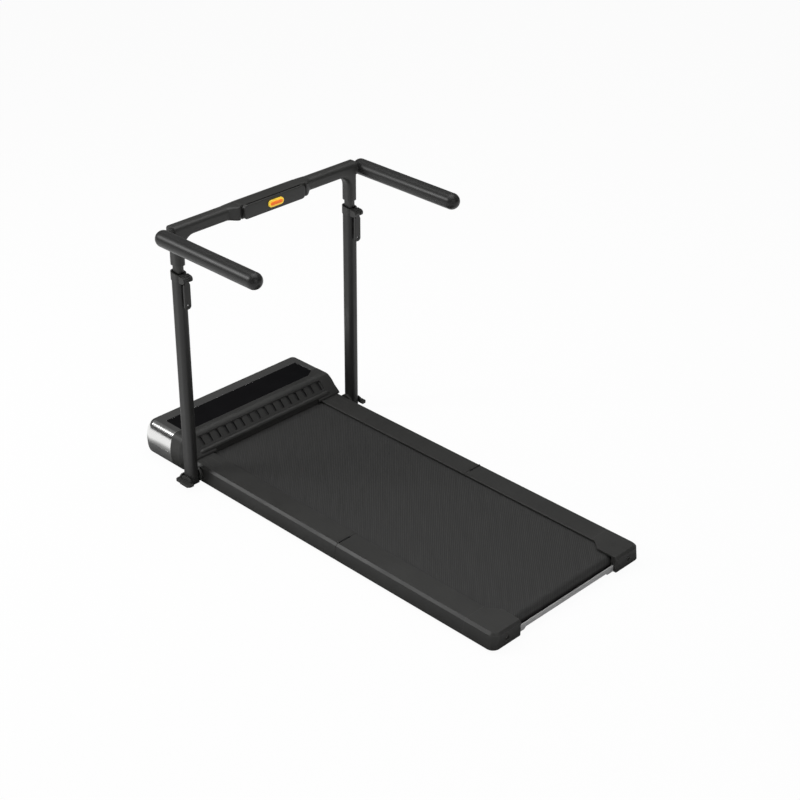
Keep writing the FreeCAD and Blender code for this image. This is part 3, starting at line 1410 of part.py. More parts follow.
def make_arm_pivots():
    """Round bosses on the bar's ends, each with the pin that an arm turns on."""
    pivots = []
    base = POST_X + d.post_width / 2
    face = ARM_X - d.arm_radius - d.boss_gap
    for side, sign in SIDES.items():
        boss = prism(f"arm_boss_{side}", "YZ", (POST_Y, d.arm_z, d.boss_radius),
                     *side_span(sign, base, face))
        pad(boss, "YZ", (POST_Y, d.arm_z, d.arm_pin_radius),
            *side_span(sign, base, ARM_X - d.arm_radius + d.arm_pin_grip))
        pivots.append(boss)
    publish(group("arm_boss_pair", pivots), "arm_pivots")


def make_arms():
    """Padded arms with round ends; the front end turns on the bar's pin."""
    for side, sign in SIDES.items():
        x = sign * ARM_X
        ends = []
        front = POST_Y - d.arm_setback
        rear = front - d.arm_length
        for y in (front, rear):
            ball = doc.addObject("Part::Sphere", f"arm_end_{side}")
            bind(ball, "Radius", d.arm_radius)
            bind(ball, "Placement.Base.x", x)
            bind(ball, "Placement.Base.y", y)
            bind(ball, "Placement.Base.z", d.arm_z)
            ends.append(ball)
        shaft = prism(f"arm_shaft_{side}", "XZ", (x, d.arm_z, d.arm_radius), rear, front)
        inner = ARM_X - d.arm_radius
        bore = prism(f"arm_bore_{side}", "YZ", (POST_Y, d.arm_z, d.arm_pin_radius + d.running_gap),
                     *side_span(sign, inner - OVERLAP, inner + d.arm_pin_grip + OVERLAP))
        arm = combine("Fuse", f"arm_joined_{side}", shaft, *ends)
        publish(combine("Cut", f"arm_{side}", arm, bore), f"arm_{side}")


def make_console():
    """Console sleeved on the bar: a face plate, a thin phone slot behind it, a shoulder at each end."""
    half = d.console_half_width
    groove = half + d.groove_width
    shoulder = groove + d.shoulder_width
    lip = CONSOLE_BACK + d.console_lip
    groove_y = CONSOLE_BACK + d.groove_depth
    wall = d.sleeve_wall
    soft = d.console_corner / 2
    foot = CROSSBAR_BOTTOM - wall
    crown = CROSSBAR_TOP + wall
    face = prism("console_face", "XZ",
                 rectangle(-half, half, d.console_bottom, d.console_top, d.console_corner),
                 CONSOLE_BACK, POST_Y)
    plan = []
    for sign in (-1, 1):
        end = [(sign * groove, groove_y, 0), (sign * groove, lip, wall),
               (sign * shoulder, lip, d.shoulder_width * 0.8), (sign * shoulder, POST_Y, 0)]
        plan += end[::-1] if sign < 0 else end
    shoulders = combine("Common", "console_shoulders", prism("console_plan", "XY", plan, foot, crown),
                        prism("console_back", "XZ",
                              rectangle(-shoulder, shoulder, foot, crown, d.console_corner), lip, POST_Y))
    side_view = prism("console_side_view", "YZ",
                      [(CONSOLE_BACK, d.console_bottom, soft), (POST_Y, d.console_bottom, 0),
                       (POST_Y, crown, 0), (lip + d.console_slot, crown, wall),
                       (lip + d.console_slot, d.console_top, 0), (CONSOLE_BACK, d.console_top, wall)],
                      -shoulder, shoulder)
    body = combine("Common", "console_body", face, side_view)
    sleeve = prism("console_sleeve", "YZ",
                   rounded_section(POST_Y, d.bar_centre_z, d.post_depth + wall * 2, d.bar_height + wall * 2,
                                   d.bar_round + wall), -half, half)
    bar = prism("console_bore", "YZ",
                rounded_section(POST_Y, d.bar_centre_z, d.post_depth, d.bar_height, d.bar_round),
                -shoulder - OVERLAP, shoulder + OVERLAP)
    slot = box("console_slot", (-half - OVERLAP, half + OVERLAP), (lip, lip + d.console_slot),
               (d.console_slot_floor, d.console_top + OVERLAP))
    console = combine("Fuse", "console_joined", body, shoulders, sleeve)
    publish(combine("Cut", "console", console, bar, slot), "console")


def make_safety_key():
    def pill(length, height):
        return rounded_section(size(0), d.key_z, length, height, height * 0.49)

    face = CONSOLE_BACK - d.slide_gap
    front = face - d.key_thick
    publish(prism("key", "XZ", pill(d.key_length, d.key_height), front, face), "safety_key")
    publish(prism("key_grip", "XZ", pill(d.grip_length, d.grip_height), front - d.grip_thick, front),
            "safety_key_grip")


def build():
    for make in (make_rails, make_rail_inserts, make_frames, make_boards, make_belt, make_pans, make_feet,
                 make_fold_hinge, make_rollers, make_rear_caps, make_rear_bar, make_tension_bolts,
                 make_housing, make_vent_grille, make_display, make_power_inlet, make_power_switch,
                 make_wheels, make_motor, make_drive_belt, make_controller, make_foot_brackets, make_posts,
                 make_inner_tubes, make_bushes, make_collars, make_levers, make_crossbar, make_arm_pivots,
                 make_arms, make_console, make_safety_key):
        make()
    doc.recompute()


def check():
    for thing in doc.Objects:
        if "Invalid" in thing.State or "Error" in thing.State:
            raise RuntimeError(f"{thing.Label} did not build")
    for piece in SUBPARTS:
        if piece.Shape.isNull() or not piece.Shape.isValid() or not piece.Shape.Solids:
            raise RuntimeError(f"{piece.Label} has no valid solid")


def export():
    os.makedirs("parts", exist_ok=True)
    for piece in SUBPARTS:
        piece.Shape.exportStep(f"parts/{piece.Label}.step")
    print(f"{len(SUBPARTS)} sub-parts written")


build()
check()
export()
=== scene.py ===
# %% [markdown]
# # Walking pad
# A low folding treadmill with a hinged handrail. The rigid forms, such as the rails, the motor hood and
# the tubes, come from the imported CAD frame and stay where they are. This lesson gives them their finishes
# and adds what a solid modeller is poor at: the one long belt that bends at the fold, the foam sleeves,
# the console's flared ends, thin sheets and small screws, and the studio round it all.

# %% Load the frame
import json
import math

import bmesh
import bpy
from mathutils import Matrix, Vector


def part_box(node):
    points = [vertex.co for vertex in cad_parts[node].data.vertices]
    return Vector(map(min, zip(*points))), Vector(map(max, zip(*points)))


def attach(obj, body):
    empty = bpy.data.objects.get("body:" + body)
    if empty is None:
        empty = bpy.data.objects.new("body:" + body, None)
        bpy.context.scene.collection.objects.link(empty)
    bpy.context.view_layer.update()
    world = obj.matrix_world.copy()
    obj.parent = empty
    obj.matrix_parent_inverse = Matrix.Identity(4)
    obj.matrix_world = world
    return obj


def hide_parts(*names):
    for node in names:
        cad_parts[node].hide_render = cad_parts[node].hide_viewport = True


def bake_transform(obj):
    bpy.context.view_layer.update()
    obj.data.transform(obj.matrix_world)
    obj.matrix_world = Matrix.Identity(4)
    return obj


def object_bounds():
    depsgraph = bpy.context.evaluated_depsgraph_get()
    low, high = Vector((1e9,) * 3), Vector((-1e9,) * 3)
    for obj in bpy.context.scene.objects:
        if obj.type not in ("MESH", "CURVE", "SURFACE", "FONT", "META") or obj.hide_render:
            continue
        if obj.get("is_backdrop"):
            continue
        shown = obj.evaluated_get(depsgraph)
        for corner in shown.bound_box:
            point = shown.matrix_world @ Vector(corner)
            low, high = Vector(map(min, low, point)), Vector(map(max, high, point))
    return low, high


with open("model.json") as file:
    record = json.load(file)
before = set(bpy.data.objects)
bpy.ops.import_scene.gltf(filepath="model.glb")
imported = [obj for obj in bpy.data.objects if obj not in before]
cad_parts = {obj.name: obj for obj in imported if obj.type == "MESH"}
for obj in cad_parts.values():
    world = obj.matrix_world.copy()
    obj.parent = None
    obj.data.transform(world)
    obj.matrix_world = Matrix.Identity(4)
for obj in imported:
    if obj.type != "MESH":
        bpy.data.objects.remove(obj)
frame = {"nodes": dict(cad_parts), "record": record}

nodes = frame["nodes"]
MM = 0.001
cad_low, cad_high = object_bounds()
print("solids:", len(nodes), "size in m:", [round(v, 3) for v in cad_high - cad_low])

# %% [markdown]
# ## The camera
# The photograph looks down on the pad from its rear left corner with a long lens, so the sides hardly
# converge. A camera can be aimed with a constraint, or built from its three axes. The axes are used here:
# they give the small roll of the picture as well, and nothing is left to solve when other views are taken.

# %% Camera at the photograph's angle
CAMERA_PLACE = Vector((-2.908, -2.9365, 2.672))
CAMERA_TURN, CAMERA_RISE, CAMERA_ROLL = (math.radians(a) for a in (-45.47, 29.50, 0.31))
LENS, SENSOR = 77.65, 36.0


def camera_axes(turn, rise, roll):
    """Right, up and backward axes: turned about the vertical, risen over the horizon, then rolled."""
    back = Vector((math.sin(turn) * math.cos(rise), -math.cos(turn) * math.cos(rise), math.sin(rise)))
    right = Vector((math.cos(turn), math.sin(turn), 0.0))
    up = back.cross(right)
    rolled_right = right * math.cos(roll) + up * math.sin(roll)
    return rolled_right, back.cross(rolled_right), back


camera_data = bpy.data.cameras.new("camera")
camera_data.lens = LENS
camera_data.sensor_width = SENSOR
camera = bpy.data.objects.new("camera", camera_data)
bpy.context.scene.collection.objects.link(camera)
camera_turn = Matrix(camera_axes(CAMERA_TURN, CAMERA_RISE, CAMERA_ROLL)).transposed().to_4x4()
camera.matrix_world = Matrix.Translation(CAMERA_PLACE) @ camera_turn
bpy.context.scene.camera = camera
bpy.context.scene.view_settings.view_transform = "Standard"
print("camera at", [round(v, 3) for v in camera.location])

# %% [markdown]
# ## Small helpers for shader nodes
# Every finish below is a node tree. A few helpers keep the trees readable: one adds a node with its
# settings and inputs in a single line, others do a sum, mix two colours or make a colour ramp, and two open
# a material, either empty or with its shader and the object coordinates that its patterns lie on.

# %% Shader helpers
NOISE_LOW, NOISE_HIGH = 0.3, 0.7  # nearly all of a noise lies between these


def add(tree, kind, inputs=None, **settings):
    """One node, with its settings, and its inputs given as values or as sockets to link."""
    node = tree.nodes.new("ShaderNode" + kind)
    for key, value in settings.items():
        setattr(node, key, value)
    for key, value in (inputs or {}).items():
        socket = node.inputs[key]
        if isinstance(value, bpy.types.NodeSocket):
            tree.links.new(value, socket)
        else:
            socket.default_value = value
    return node


def calc(tree, operation, first, second=0.0):
    """Result of one Math node."""
    return add(tree, "Math", {0: first, 1: second}, operation=operation).outputs["Value"]


def mix(tree, factor, first, second):
    """Colour between two others: a colour mix has its factor at 0 and its two ends at 6 and 7."""
    return add(tree, "Mix", {0: factor, 6: first, 7: second}, data_type="RGBA").outputs[2]


def ramp(tree, factor, stops):
    """Colour ramp through (place, grey or colour) stops."""
    node = add(tree, "ValToRGB", {"Fac": factor})
    band = node.color_ramp
    while len(band.elements) < len(stops):
        band.elements.new(0.5)
    for element, (place, value) in zip(band.elements, stops):
        element.position = place
        colour = value if isinstance(value, tuple) else (value, value, value)
        element.color = (*colour, 1.0)
    return node.outputs["Color"]


def empty_material(name):
    """A material and its node tree, with nothing in it yet."""
    material = bpy.data.materials.new(name)
    material.use_nodes = True
    material.node_tree.nodes.clear()
    return material, material.node_tree


def start_finish(name):
    """A material with a plain surface, its tree, its shader and the object coordinates."""
    material, tree = empty_material(name)
    shader = add(tree, "BsdfPrincipled")
    add(tree, "OutputMaterial", {"Surface": shader.outputs["BSDF"]})
    place = add(tree, "TexCoord").outputs["Object"]
    return material, tree, shader, place


# %% Helpers for gloss and relief


def uneven_gloss(tree, shader, noise, roughness, spread):
    """Roughness that follows a noise, by the spread either way."""
    gloss = add(tree, "MapRange", {"Value": noise, "From Min": NOISE_LOW, "From Max": NOISE_HIGH,
                                   "To Min": roughness - spread, "To Max": roughness + spread})
    tree.links.new(gloss.outputs["Result"], shader.inputs["Roughness"])


def emboss(tree, shader, height, strength, depth, edge=0.0):
    """Bump of a depth in mm, over edges that are rounded by a radius in mm."""
    bump = add(tree, "Bump", {"Strength": strength, "Distance": depth * MM, "Height": height})
    if edge:
        soft = add(tree, "Bevel", {"Radius": edge * MM}, samples=4)
        tree.links.new(soft.outputs["Normal"], bump.inputs["Normal"])
    tree.links.new(bump.outputs["Normal"], shader.inputs["Normal"])


# %% [markdown]
# ## Moulded and painted finishes
# The rails, caps, hood and console are charcoal plastic with the fine grain of a spark-eroded mould. It
# could be a picture texture, but a noise at the true grain size needs no unwrapping and holds up close.
# Two noises do it: a fine one for the grain, and a broad one for uneven gloss and the slight clouding of
# the colour. The rounded normal softens the edges as a real moulding's edge is soft, and where it leaves
# the true normal there is an edge, which gets a painted highlight: its colour is painted paler.

# %% Charcoal plastics and paints
CLOUD_SCALE = 9.0  # clouds to the metre
GLOSS_SPREAD = 0.05
# painted highlight: how far round an edge, and by how many times the colour, the edges are painted paler
EDGE_HIGHLIGHT_REACH, EDGE_HIGHLIGHT_GAIN = 1.3, 3.2  # mm round an edge, and times the colour
EDGE_HIGHLIGHT_FROM, EDGE_HIGHLIGHT_FULL = 0.99, 0.85  # cosines between the rounded and the true normal


def grained(name, colour, roughness, grain, depth, clouding=0.10, edge=0.6, edge_highlight=0.0, glow=0.0):
    """Grain, depth and edge in mm; colour is linear; roughness is the middle of its spread; the paler edges
    are a painted highlight of a given strength; glow paints in light of the same colour, though the part is
    no lamp."""
    material, tree, shader, place = start_finish(name)
    fine = add(tree, "TexNoise", {"Vector": place, "Scale": 1000.0 / grain, "Detail": 3.0}).outputs["Fac"]
    broad = add(tree, "TexNoise", {"Vector": place, "Scale": CLOUD_SCALE, "Detail": 4.0,
                                   "Roughness": 0.6}).outputs["Fac"]
    darker = tuple(c * (1 - clouding) for c in colour)
    lighter = tuple(c * (1 + clouding) for c in colour)
    tint = ramp(tree, broad, [(NOISE_LOW, darker), (NOISE_HIGH, lighter)])
    # painted highlight: where the rounded normal leaves the true one, the colour is painted paler
    if edge_highlight:
        rim = add(tree, "Bevel", {"Radius": EDGE_HIGHLIGHT_REACH * MM}, samples=6).outputs["Normal"]
        true = add(tree, "NewGeometry").outputs["Normal"]
        apart = add(tree, "VectorMath", {0: rim, 1: true}, operation="DOT_PRODUCT").outputs["Value"]
        painted_highlight_mask = add(tree, "MapRange", {"Value": apart, "From Min": EDGE_HIGHLIGHT_FROM, "From Max": EDGE_HIGHLIGHT_FULL,
                                      "To Max": edge_highlight}).outputs["Result"]
        tint = mix(tree, painted_highlight_mask, tint, (*(c * EDGE_HIGHLIGHT_GAIN for c in colour), 1.0))
    tree.links.new(tint, shader.inputs["Base Color"])
    uneven_gloss(tree, shader, broad, roughness, GLOSS_SPREAD)
    emboss(tree, shader, fine, 0.5, depth, edge)
    # painted glow: the colour itself is emitted, on parts that are no lamps
    shader.inputs["Emission Color"].default_value = (*colour, 1.0)
    shader.inputs["Emission Strength"].default_value = glow
    return material


GRAINED = {
    "charcoal_plastic": dict(colour=(0.027, 0.027, 0.0256), roughness=0.50, grain=0.7, depth=0.06,
                             edge=0.3, edge_highlight=0.6),
    "charcoal_paint": dict(colour=(0.016, 0.016, 0.0154), roughness=0.48, grain=0.5, depth=0.05,
                           edge=0.3, edge_highlight=0.5),
    "foot_rubber": dict(colour=(0.016, 0.016, 0.016), roughness=0.78, grain=0.9, depth=0.10),
    "bush_plastic": dict(colour=(0.020, 0.020, 0.020), roughness=0.45, grain=0.6, depth=0.03),
    "gloss_black": dict(colour=(0.010, 0.010, 0.010), roughness=0.22, grain=1.2, depth=0.01, edge=0.5),
    # painted glow on both keys: they are no lamps, yet emit 0.35 of their own colour
    "key_yellow": dict(colour=(0.95, 0.66, 0.06), roughness=0.42, grain=0.6, depth=0.03, clouding=0.03,
                       glow=0.35),
    "key_orange": dict(colour=(0.85, 0.16, 0.012), roughness=0.42, grain=0.6, depth=0.03, clouding=0.03,
                       glow=0.35),
}
finishes = {name: grained(name, **settings) for name, settings in GRAINED.items()}
print("grained finishes:", ", ".join(finishes))

# %% [markdown]
# ## Metals
# The nose is a bright gloss shell, the sliding tubes are dark chrome, and the hidden shafts are ground
# steel. They are the same idea at different settings: a metallic surface whose scratches run one way. A
# noise stretched along the rolling direction gives them, and drives both gloss and a very small bump. The
# rear plate is the odd one out: a grey lacquer covers it, so only a part of its shine is that of metal.

# %% Metal finishes
METAL_EDGE = 0.6  # mm
METAL_CLOUDS = 0.94  # the darker places, as a share of the colour


def rolled_metal(name, colour, roughness, spread, stretch, depth, metal=1.0):
    """Metal with fine drawing lines of a depth in mm; stretch scales the noise along x, y and z."""
    material, tree, shader, place = start_finish(name)
    turned = add(tree, "Mapping", {"Vector": place, "Scale": stretch}).outputs["Vector"]
    lines = add(tree, "TexNoise", {"Vector": turned, "Scale": 1.0, "Detail": 4.0}).outputs["Fac"]
    broad = add(tree, "TexNoise", {"Vector": place, "Scale": 7.0, "Detail": 3.0}).outputs["Fac"]
    darker = tuple(c * METAL_CLOUDS for c in colour)
    tint = ramp(tree, broad, [(NOISE_LOW, darker), (NOISE_HIGH, colour)])
    tree.links.new(tint, shader.inputs["Base Color"])
    uneven_gloss(tree, shader, lines, roughness, spread)
    emboss(tree, shader, lines, 0.3, depth, METAL_EDGE)
    shader.inputs["Metallic"].default_value = metal
    return material


METALS = {
    "silver_gloss": dict(colour=(0.86, 0.86, 0.85), roughness=0.20, spread=0.02, stretch=(40, 400, 40),
                         depth=0.004),
    "steel": dict(colour=(0.44, 0.44, 0.43), roughness=0.34, spread=0.08, stretch=(60, 900, 900),
                  depth=0.01),
    "grey_metal": dict(colour=(0.46, 0.46, 0.46), roughness=0.45, spread=0.08, stretch=(60, 700, 700),
                       depth=0.01, metal=0.3),
    "bright_metal": dict(colour=(0.62, 0.63, 0.64), roughness=0.36, spread=0.07, stretch=(30, 900, 900),
                         depth=0.01),
    "chrome_tube": dict(colour=(0.060, 0.060, 0.058), roughness=0.34, spread=0.06, stretch=(900, 900, 30),
                        depth=0.01),
}
for name, settings in METALS.items():
    finishes[name] = rolled_metal(name, **settings)
print("metals:", ", ".join(METALS))

# %% [markdown]
# ## Display glass
# The panel in the hood is black acrylic over dark lamps. It is nearly a mirror, so what sells it is faint:
# a few soft smears in the gloss where fingers touch it. A distorted noise in the roughness makes those.

# %% Display finish


def display_glass():
    """Black acrylic with finger smears."""
    material, tree, shader, place = start_finish("display_black")
    smear = add(tree, "TexNoise", {"Vector": place, "Scale": 14.0, "Detail": 5.0,
                                   "Distortion": 0.8}).outputs["Fac"]
    gloss = ramp(tree, smear, [(0.35, 0.06), (0.75, 0.16)])
    tree.links.new(gloss, shader.inputs["Roughness"])
    depth = ramp(tree, smear, [(NOISE_LOW, (0.0025, 0.0024, 0.003)), (NOISE_HIGH, (0.004, 0.0038, 0.0045))])
    tree.links.new(depth, shader.inputs["Base Color"])
    soft = add(tree, "Bevel", {"Radius": 0.5 * MM}, samples=4)
    tree.links.new(soft.outputs["Normal"], shader.inputs["Normal"])
    shader.inputs["Specular IOR Level"].default_value = 0.3
    return material


finishes["display_black"] = display_glass()
print("display:", finishes["display_black"].name)

# %% [markdown]
# ## Board under the belt
# The running boards are phenolic-faced fibreboard, seen only at the fold. Their faces are dark and waxed
# and their cut edges show packed fibres, which a noise drawn out along the board gives.

# %% Board finish


def waxed_board():
    """Dark fibreboard, its fibres drawn out along y."""
    material, tree, shader, place = start_finish("board_wood")
    drawn = add(tree, "Mapping", {"Vector": place, "Scale": (90.0, 14.0, 420.0)}).outputs["Vector"]
    fibre = add(tree, "TexNoise", {"Vector": drawn, "Scale": 1.0, "Detail": 6.0}).outputs["Fac"]
    tint = ramp(tree, fibre, [(0.25, (0.030, 0.022, 0.016)), (0.75, (0.075, 0.056, 0.040))])
    tree.links.new(tint, shader.inputs["Base Color"])
    gloss = ramp(tree, fibre, [(NOISE_LOW, 0.45), (NOISE_HIGH, 0.65)])
    tree.links.new(gloss, shader.inputs["Roughness"])
    emboss(tree, shader, fibre, 0.3, 0.05)
    return material


finishes["board_wood"] = waxed_board()
print("board:", finishes["board_wood"].name)

# %% [markdown]
# ## Belt cover
# The belt is woven fabric with a black PVC face. The face is pressed with a fine diamond pattern, two sets
# of ribs that cross at 45 degrees to the walking direction. The ribs are a bump, and their crests are also
# painted paler in the colour, a painted highlight that is stronger on one set than on the other. Turning
# the coordinates once gives both sets from two plain waves, and a noise drawn out along the stronger set
# breaks the painted highlight into streaks of uneven length.

# %% Belt finish
RIB_TURN = math.radians(45)
WEAK_SHARE = 0.4  # height of the weaker ribs beside the stronger


def diamond_belt():
    """Two crossing sets of pressed ribs, with a painted highlight on their crests streaked along the
    stronger set.
    """
    material, tree, shader, place = start_finish("belt_rubber")
    turned = add(tree, "Mapping", {"Vector": place, "Rotation": (0.0, 0.0, RIB_TURN)},
                 vector_type="TEXTURE").outputs["Vector"]
    strong = add(tree, "TexWave", {"Vector": turned, "Scale": 62.0, "Distortion": 0.6, "Detail": 1.0,
                                   "Detail Scale": 1.5}, wave_type="BANDS", bands_direction="Y")
    weak = add(tree, "TexWave", {"Vector": turned, "Scale": 80.0, "Distortion": 0.4},
               wave_type="BANDS", bands_direction="X")
    weak_part = calc(tree, "MULTIPLY", weak.outputs["Fac"], WEAK_SHARE)
    pattern = calc(tree, "ADD", strong.outputs["Fac"], weak_part)
    drawn = add(tree, "Mapping", {"Vector": turned, "Scale": (7.0, 170.0, 1.0)}).outputs["Vector"]
    streak = add(tree, "TexNoise", {"Vector": drawn, "Scale": 1.0, "Detail": 3.0}).outputs["Fac"]
    painted_highlight_streaks = ramp(tree, streak, [(NOISE_LOW, 0.35), (NOISE_HIGH, 0.70)])
    # painted highlight: the ribs, in streaks, are painted paler in the colour
    painted_light_tone = calc(tree, "MULTIPLY", pattern, painted_highlight_streaks)
    tint = ramp(tree, painted_light_tone, [(0.05, (0.0155, 0.0155, 0.015)), (0.80, (0.038, 0.038, 0.037))])
    tree.links.new(tint, shader.inputs["Base Color"])
    scuff = add(tree, "TexNoise", {"Vector": place, "Scale": 5.0, "Detail": 5.0}).outputs["Fac"]
    gloss = ramp(tree, scuff, [(NOISE_LOW, 0.60), (NOISE_HIGH, 0.66)])
    tree.links.new(gloss, shader.inputs["Roughness"])
    emboss(tree, shader, pattern, 0.5, 0.25)
    return material


finishes["belt_rubber"] = diamond_belt()
print("belt cover:", finishes["belt_rubber"].name)

# %% [markdown]
# ## Foam of the arms
# The arms are dipped foam: smooth, matt, with the tiny pits of closed cells and a faint bloom. A Voronoi
# texture at cell size gives the pits, and a little sheen the soft rim that foam shows against the light.

# %% Foam finish
CELL_SCALE = 900.0  # cells to the metre


def dipped_foam():
    """Matt foam skin with closed cells."""
    material, tree, shader, place = start_finish("arm_foam")
    cells = add(tree, "TexVoronoi", {"Vector": place, "Scale": CELL_SCALE}).outputs["Distance"]
    bloom = add(tree, "TexNoise", {"Vector": place, "Scale": 16.0, "Detail": 4.0}).outputs["Fac"]
    tint = ramp(tree, bloom, [(NOISE_LOW, (0.014, 0.014, 0.0135)), (NOISE_HIGH, (0.018, 0.018, 0.0175))])
    tree.links.new(tint, shader.inputs["Base Color"])
    gloss = ramp(tree, bloom, [(NOISE_LOW, 0.35), (NOISE_HIGH, 0.41)])
    tree.links.new(gloss, shader.inputs["Roughness"])
    emboss(tree, shader, cells, 0.25, 0.05)
    shader.inputs["Specular IOR Level"].default_value = 0.32
    shader.inputs["Sheen Weight"].default_value = 0.08
    shader.inputs["Sheen Roughness"].default_value = 0.5
    return material


finishes["arm_foam"] = dipped_foam()
print("finishes:", len(finishes))

# %% [markdown]
# ## Finishes on the solids
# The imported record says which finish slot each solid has, so one loop dresses them all. Only the material
# slots of a solid change; its mesh stays as the frame brought it in.

# %% Dress the solids
slot_of = {part["node"]: part["material_slot"] for part in frame["record"]["subparts"]}
for name, solid in nodes.items():
    solid.data.materials.clear()
    solid.data.materials.append(finishes[slot_of[name]])
print("dressed:", len(slot_of), "solids in", len(set(slot_of.values())), "finishes")

# %% [markdown]
# ## Small helpers for meshes
# Nearly every piece below is a row of rings, each a loop of points, with a skin between them. Modifiers
# could sweep or turn a profile too, but plain rings show where every point comes from. The helpers give
# the angles round a circle, the skin over the rings, and the finished object.

# %% Mesh helpers
TINY = 1e-6  # lengths under this count as nothing
SHARP_ANGLE = math.radians(35)


def angles(around):
    """Equal steps round a circle."""
    return [math.tau * k / around for k in range(around)]


def skin(bm, rings, capped=True):
    """Faces between each ring and the next, where a ring of one point is a pole, and over both ends."""
    for near, far in zip(rings, rings[1:]):
        around = max(len(near), len(far))
        for k in range(around):
            nxt = (k + 1) % around
            corners = (near[k % len(near)], near[nxt % len(near)], far[nxt % len(far)], far[k % len(far)])
            bm.faces.new(list(dict.fromkeys(corners)))
    if capped:
        bm.faces.new(rings[0])
        bm.faces.new(rings[-1])


def finish_mesh(name, bm, material):
    """Turns a bmesh into an object at the origin, faces outward, smooth by angle."""
    bmesh.ops.recalc_face_normals(bm, faces=bm.faces)
    mesh = bpy.data.meshes.new(name)
    bm.to_mesh(mesh)
    bm.free()
    mesh.materials.append(material)
    piece = bpy.data.objects.new(name, mesh)
    bpy.context.scene.collection.objects.link(piece)
    mesh.shade_smooth()
    mesh.set_sharp_from_angle(angle=SHARP_ANGLE)
    return piece


# %% [markdown]
# ## The belt
# On the real pad one endless belt runs over both rollers and simply bends where the deck folds. Two rigid
# halves would gape there, so here it is one strip: its cross-section is swept along the path round both
# rollers. The upper run is cut finely near the fold. The lower run is parted at the fold, behind the pans,
# because the real one slackens there and no rigid path can follow it.

# %% Path and section of the belt
FOLD_Y = -0.122
FRONT_ROLLER, REAR_ROLLER = Vector((0.518, 0.0272)), Vector((-0.657, 0.0272))  # (y, z) of their axes
BELT_HALF, BELT_THICK, BELT_EASE = 0.220, 0.0018, 0.0004
BELT_OUTSIDE = 0.0191  # face of the belt from a roller's axis
WRAP = BELT_OUTSIDE - BELT_THICK / 2  # middle of the belt from there
BEND = 0.013  # half the length that bends
FINE, PARTED = BEND * 1.4, BEND * 1.1  # half of the finely cut length, and of the gap in the lower run


def belt_path():
    """(y, z) points and unit normals along the middle of the belt, from under the fold and back to it."""
    points = []
    low = FRONT_ROLLER.y - WRAP
    high = FRONT_ROLLER.y + WRAP

    def run(start, end, z, facing, steps):
        for i in range(steps):
            points.append((start + (end - start) * i / steps, z, 0.0, facing))

    def turn(centre, begin, steps=20):
        for i in range(steps):
            angle = begin + math.pi * i / steps
            points.append((centre.x + WRAP * math.cos(angle), centre.y + WRAP * math.sin(angle),
                           math.cos(angle), math.sin(angle)))

    run(FOLD_Y + PARTED, FRONT_ROLLER.x, low, -1.0, 8)
    turn(FRONT_ROLLER, -math.pi / 2)
    run(FRONT_ROLLER.x, FOLD_Y + FINE, high, 1.0, 14)
    run(FOLD_Y + FINE, FOLD_Y - FINE, high, 1.0, 28)
    run(FOLD_Y - FINE, REAR_ROLLER.x, high, 1.0, 12)
    turn(REAR_ROLLER, math.pi / 2)
    run(REAR_ROLLER.x, FOLD_Y - PARTED, low, -1.0, 8)
    points.append((FOLD_Y - PARTED, low, 0.0, -1.0))
    return points


def belt_section(half, thick, ease):
    """Corners of the belt cut across, as (x, height over the middle), edges eased."""
    top = thick / 2
    return [(half - ease, top), (half, top - ease), (half, ease - top), (half - ease, -top),
            (ease - half, -top), (-half, ease - top), (-half, top - ease), (ease - half, top)]


print("belt path points:", len(belt_path()))

# %% Sweep the belt


def sweep_belt():
    """The section carried along the path."""
    bm = bmesh.new()
    section = belt_section(BELT_HALF, BELT_THICK, BELT_EASE)
    skin(bm, [[bm.verts.new((x, y + out_y * h, z + out_z * h)) for x, h in section]
              for y, z, out_y, out_z in belt_path()])
    return finish_mesh("walking_belt", bm, finishes["belt_rubber"])


belt = sweep_belt()
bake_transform(belt)
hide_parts("belt_front", "belt_rear")
print("belt faces:", len(belt.data.polygons))

# %% [markdown]
# ## Foam sleeves of the arms
# Each arm is a tube inside a closed foam sleeve with a rounded end. The sleeve is a profile turned about
# the arm's axis. Foam is never quite straight, so the profile swells a fraction of a millimetre along its
# length, and a shallow ring marks where the dipped end meets the extruded run.

# %% Turn the sleeves
ARM_X, ARM_Z = 0.364, 0.790  # the arm's axis, on either side
ARM_FRONT, ARM_REAR = 0.447, 0.085  # ends of its straight run
ARM_RADIUS = 0.0237
SWELL, SWELL_WAVES = 0.00012, 3
RING_DEPTH, RING_PLACE, RING_SHARPNESS = 0.0002, 0.03, 220
CAP_STEPS, RUN_STEPS = 14, 40


def sleeve_profile():
    """(place along the arm, radius) from the rear pole to the front pole."""
    points = []
    for i in range(CAP_STEPS + 1):
        angle = math.pi / 2 * i / CAP_STEPS
        points.append((ARM_REAR - ARM_RADIUS * math.cos(angle), ARM_RADIUS * math.sin(angle)))
    for i in range(1, RUN_STEPS):
        part = i / RUN_STEPS
        ring = RING_DEPTH * math.exp(-((part - RING_PLACE) * RING_SHARPNESS) ** 2)
        swell = SWELL * math.sin(part * math.pi * SWELL_WAVES) - ring
        points.append((ARM_REAR + (ARM_FRONT - ARM_REAR) * part, ARM_RADIUS - SWELL + swell))
    for i in range(CAP_STEPS + 1):
        angle = math.pi / 2 * (1 - i / CAP_STEPS)
        points.append((ARM_FRONT + ARM_RADIUS * math.cos(angle), ARM_RADIUS * math.sin(angle)))
    return points


def turn_sleeve(name, x, z, around=56):
    """The profile turned about an axis along y."""
    bm = bmesh.new()
    rings = []
    for y, radius in sleeve_profile():
        if radius < TINY:
            rings.append([bm.verts.new((x, y, z))])
        else:
            rings.append([bm.verts.new((x + radius * math.cos(a), y, z + radius * math.sin(a)))
                          for a in angles(around)])
    skin(bm, rings, capped=False)
    return finish_mesh(name, bm, finishes["arm_foam"])


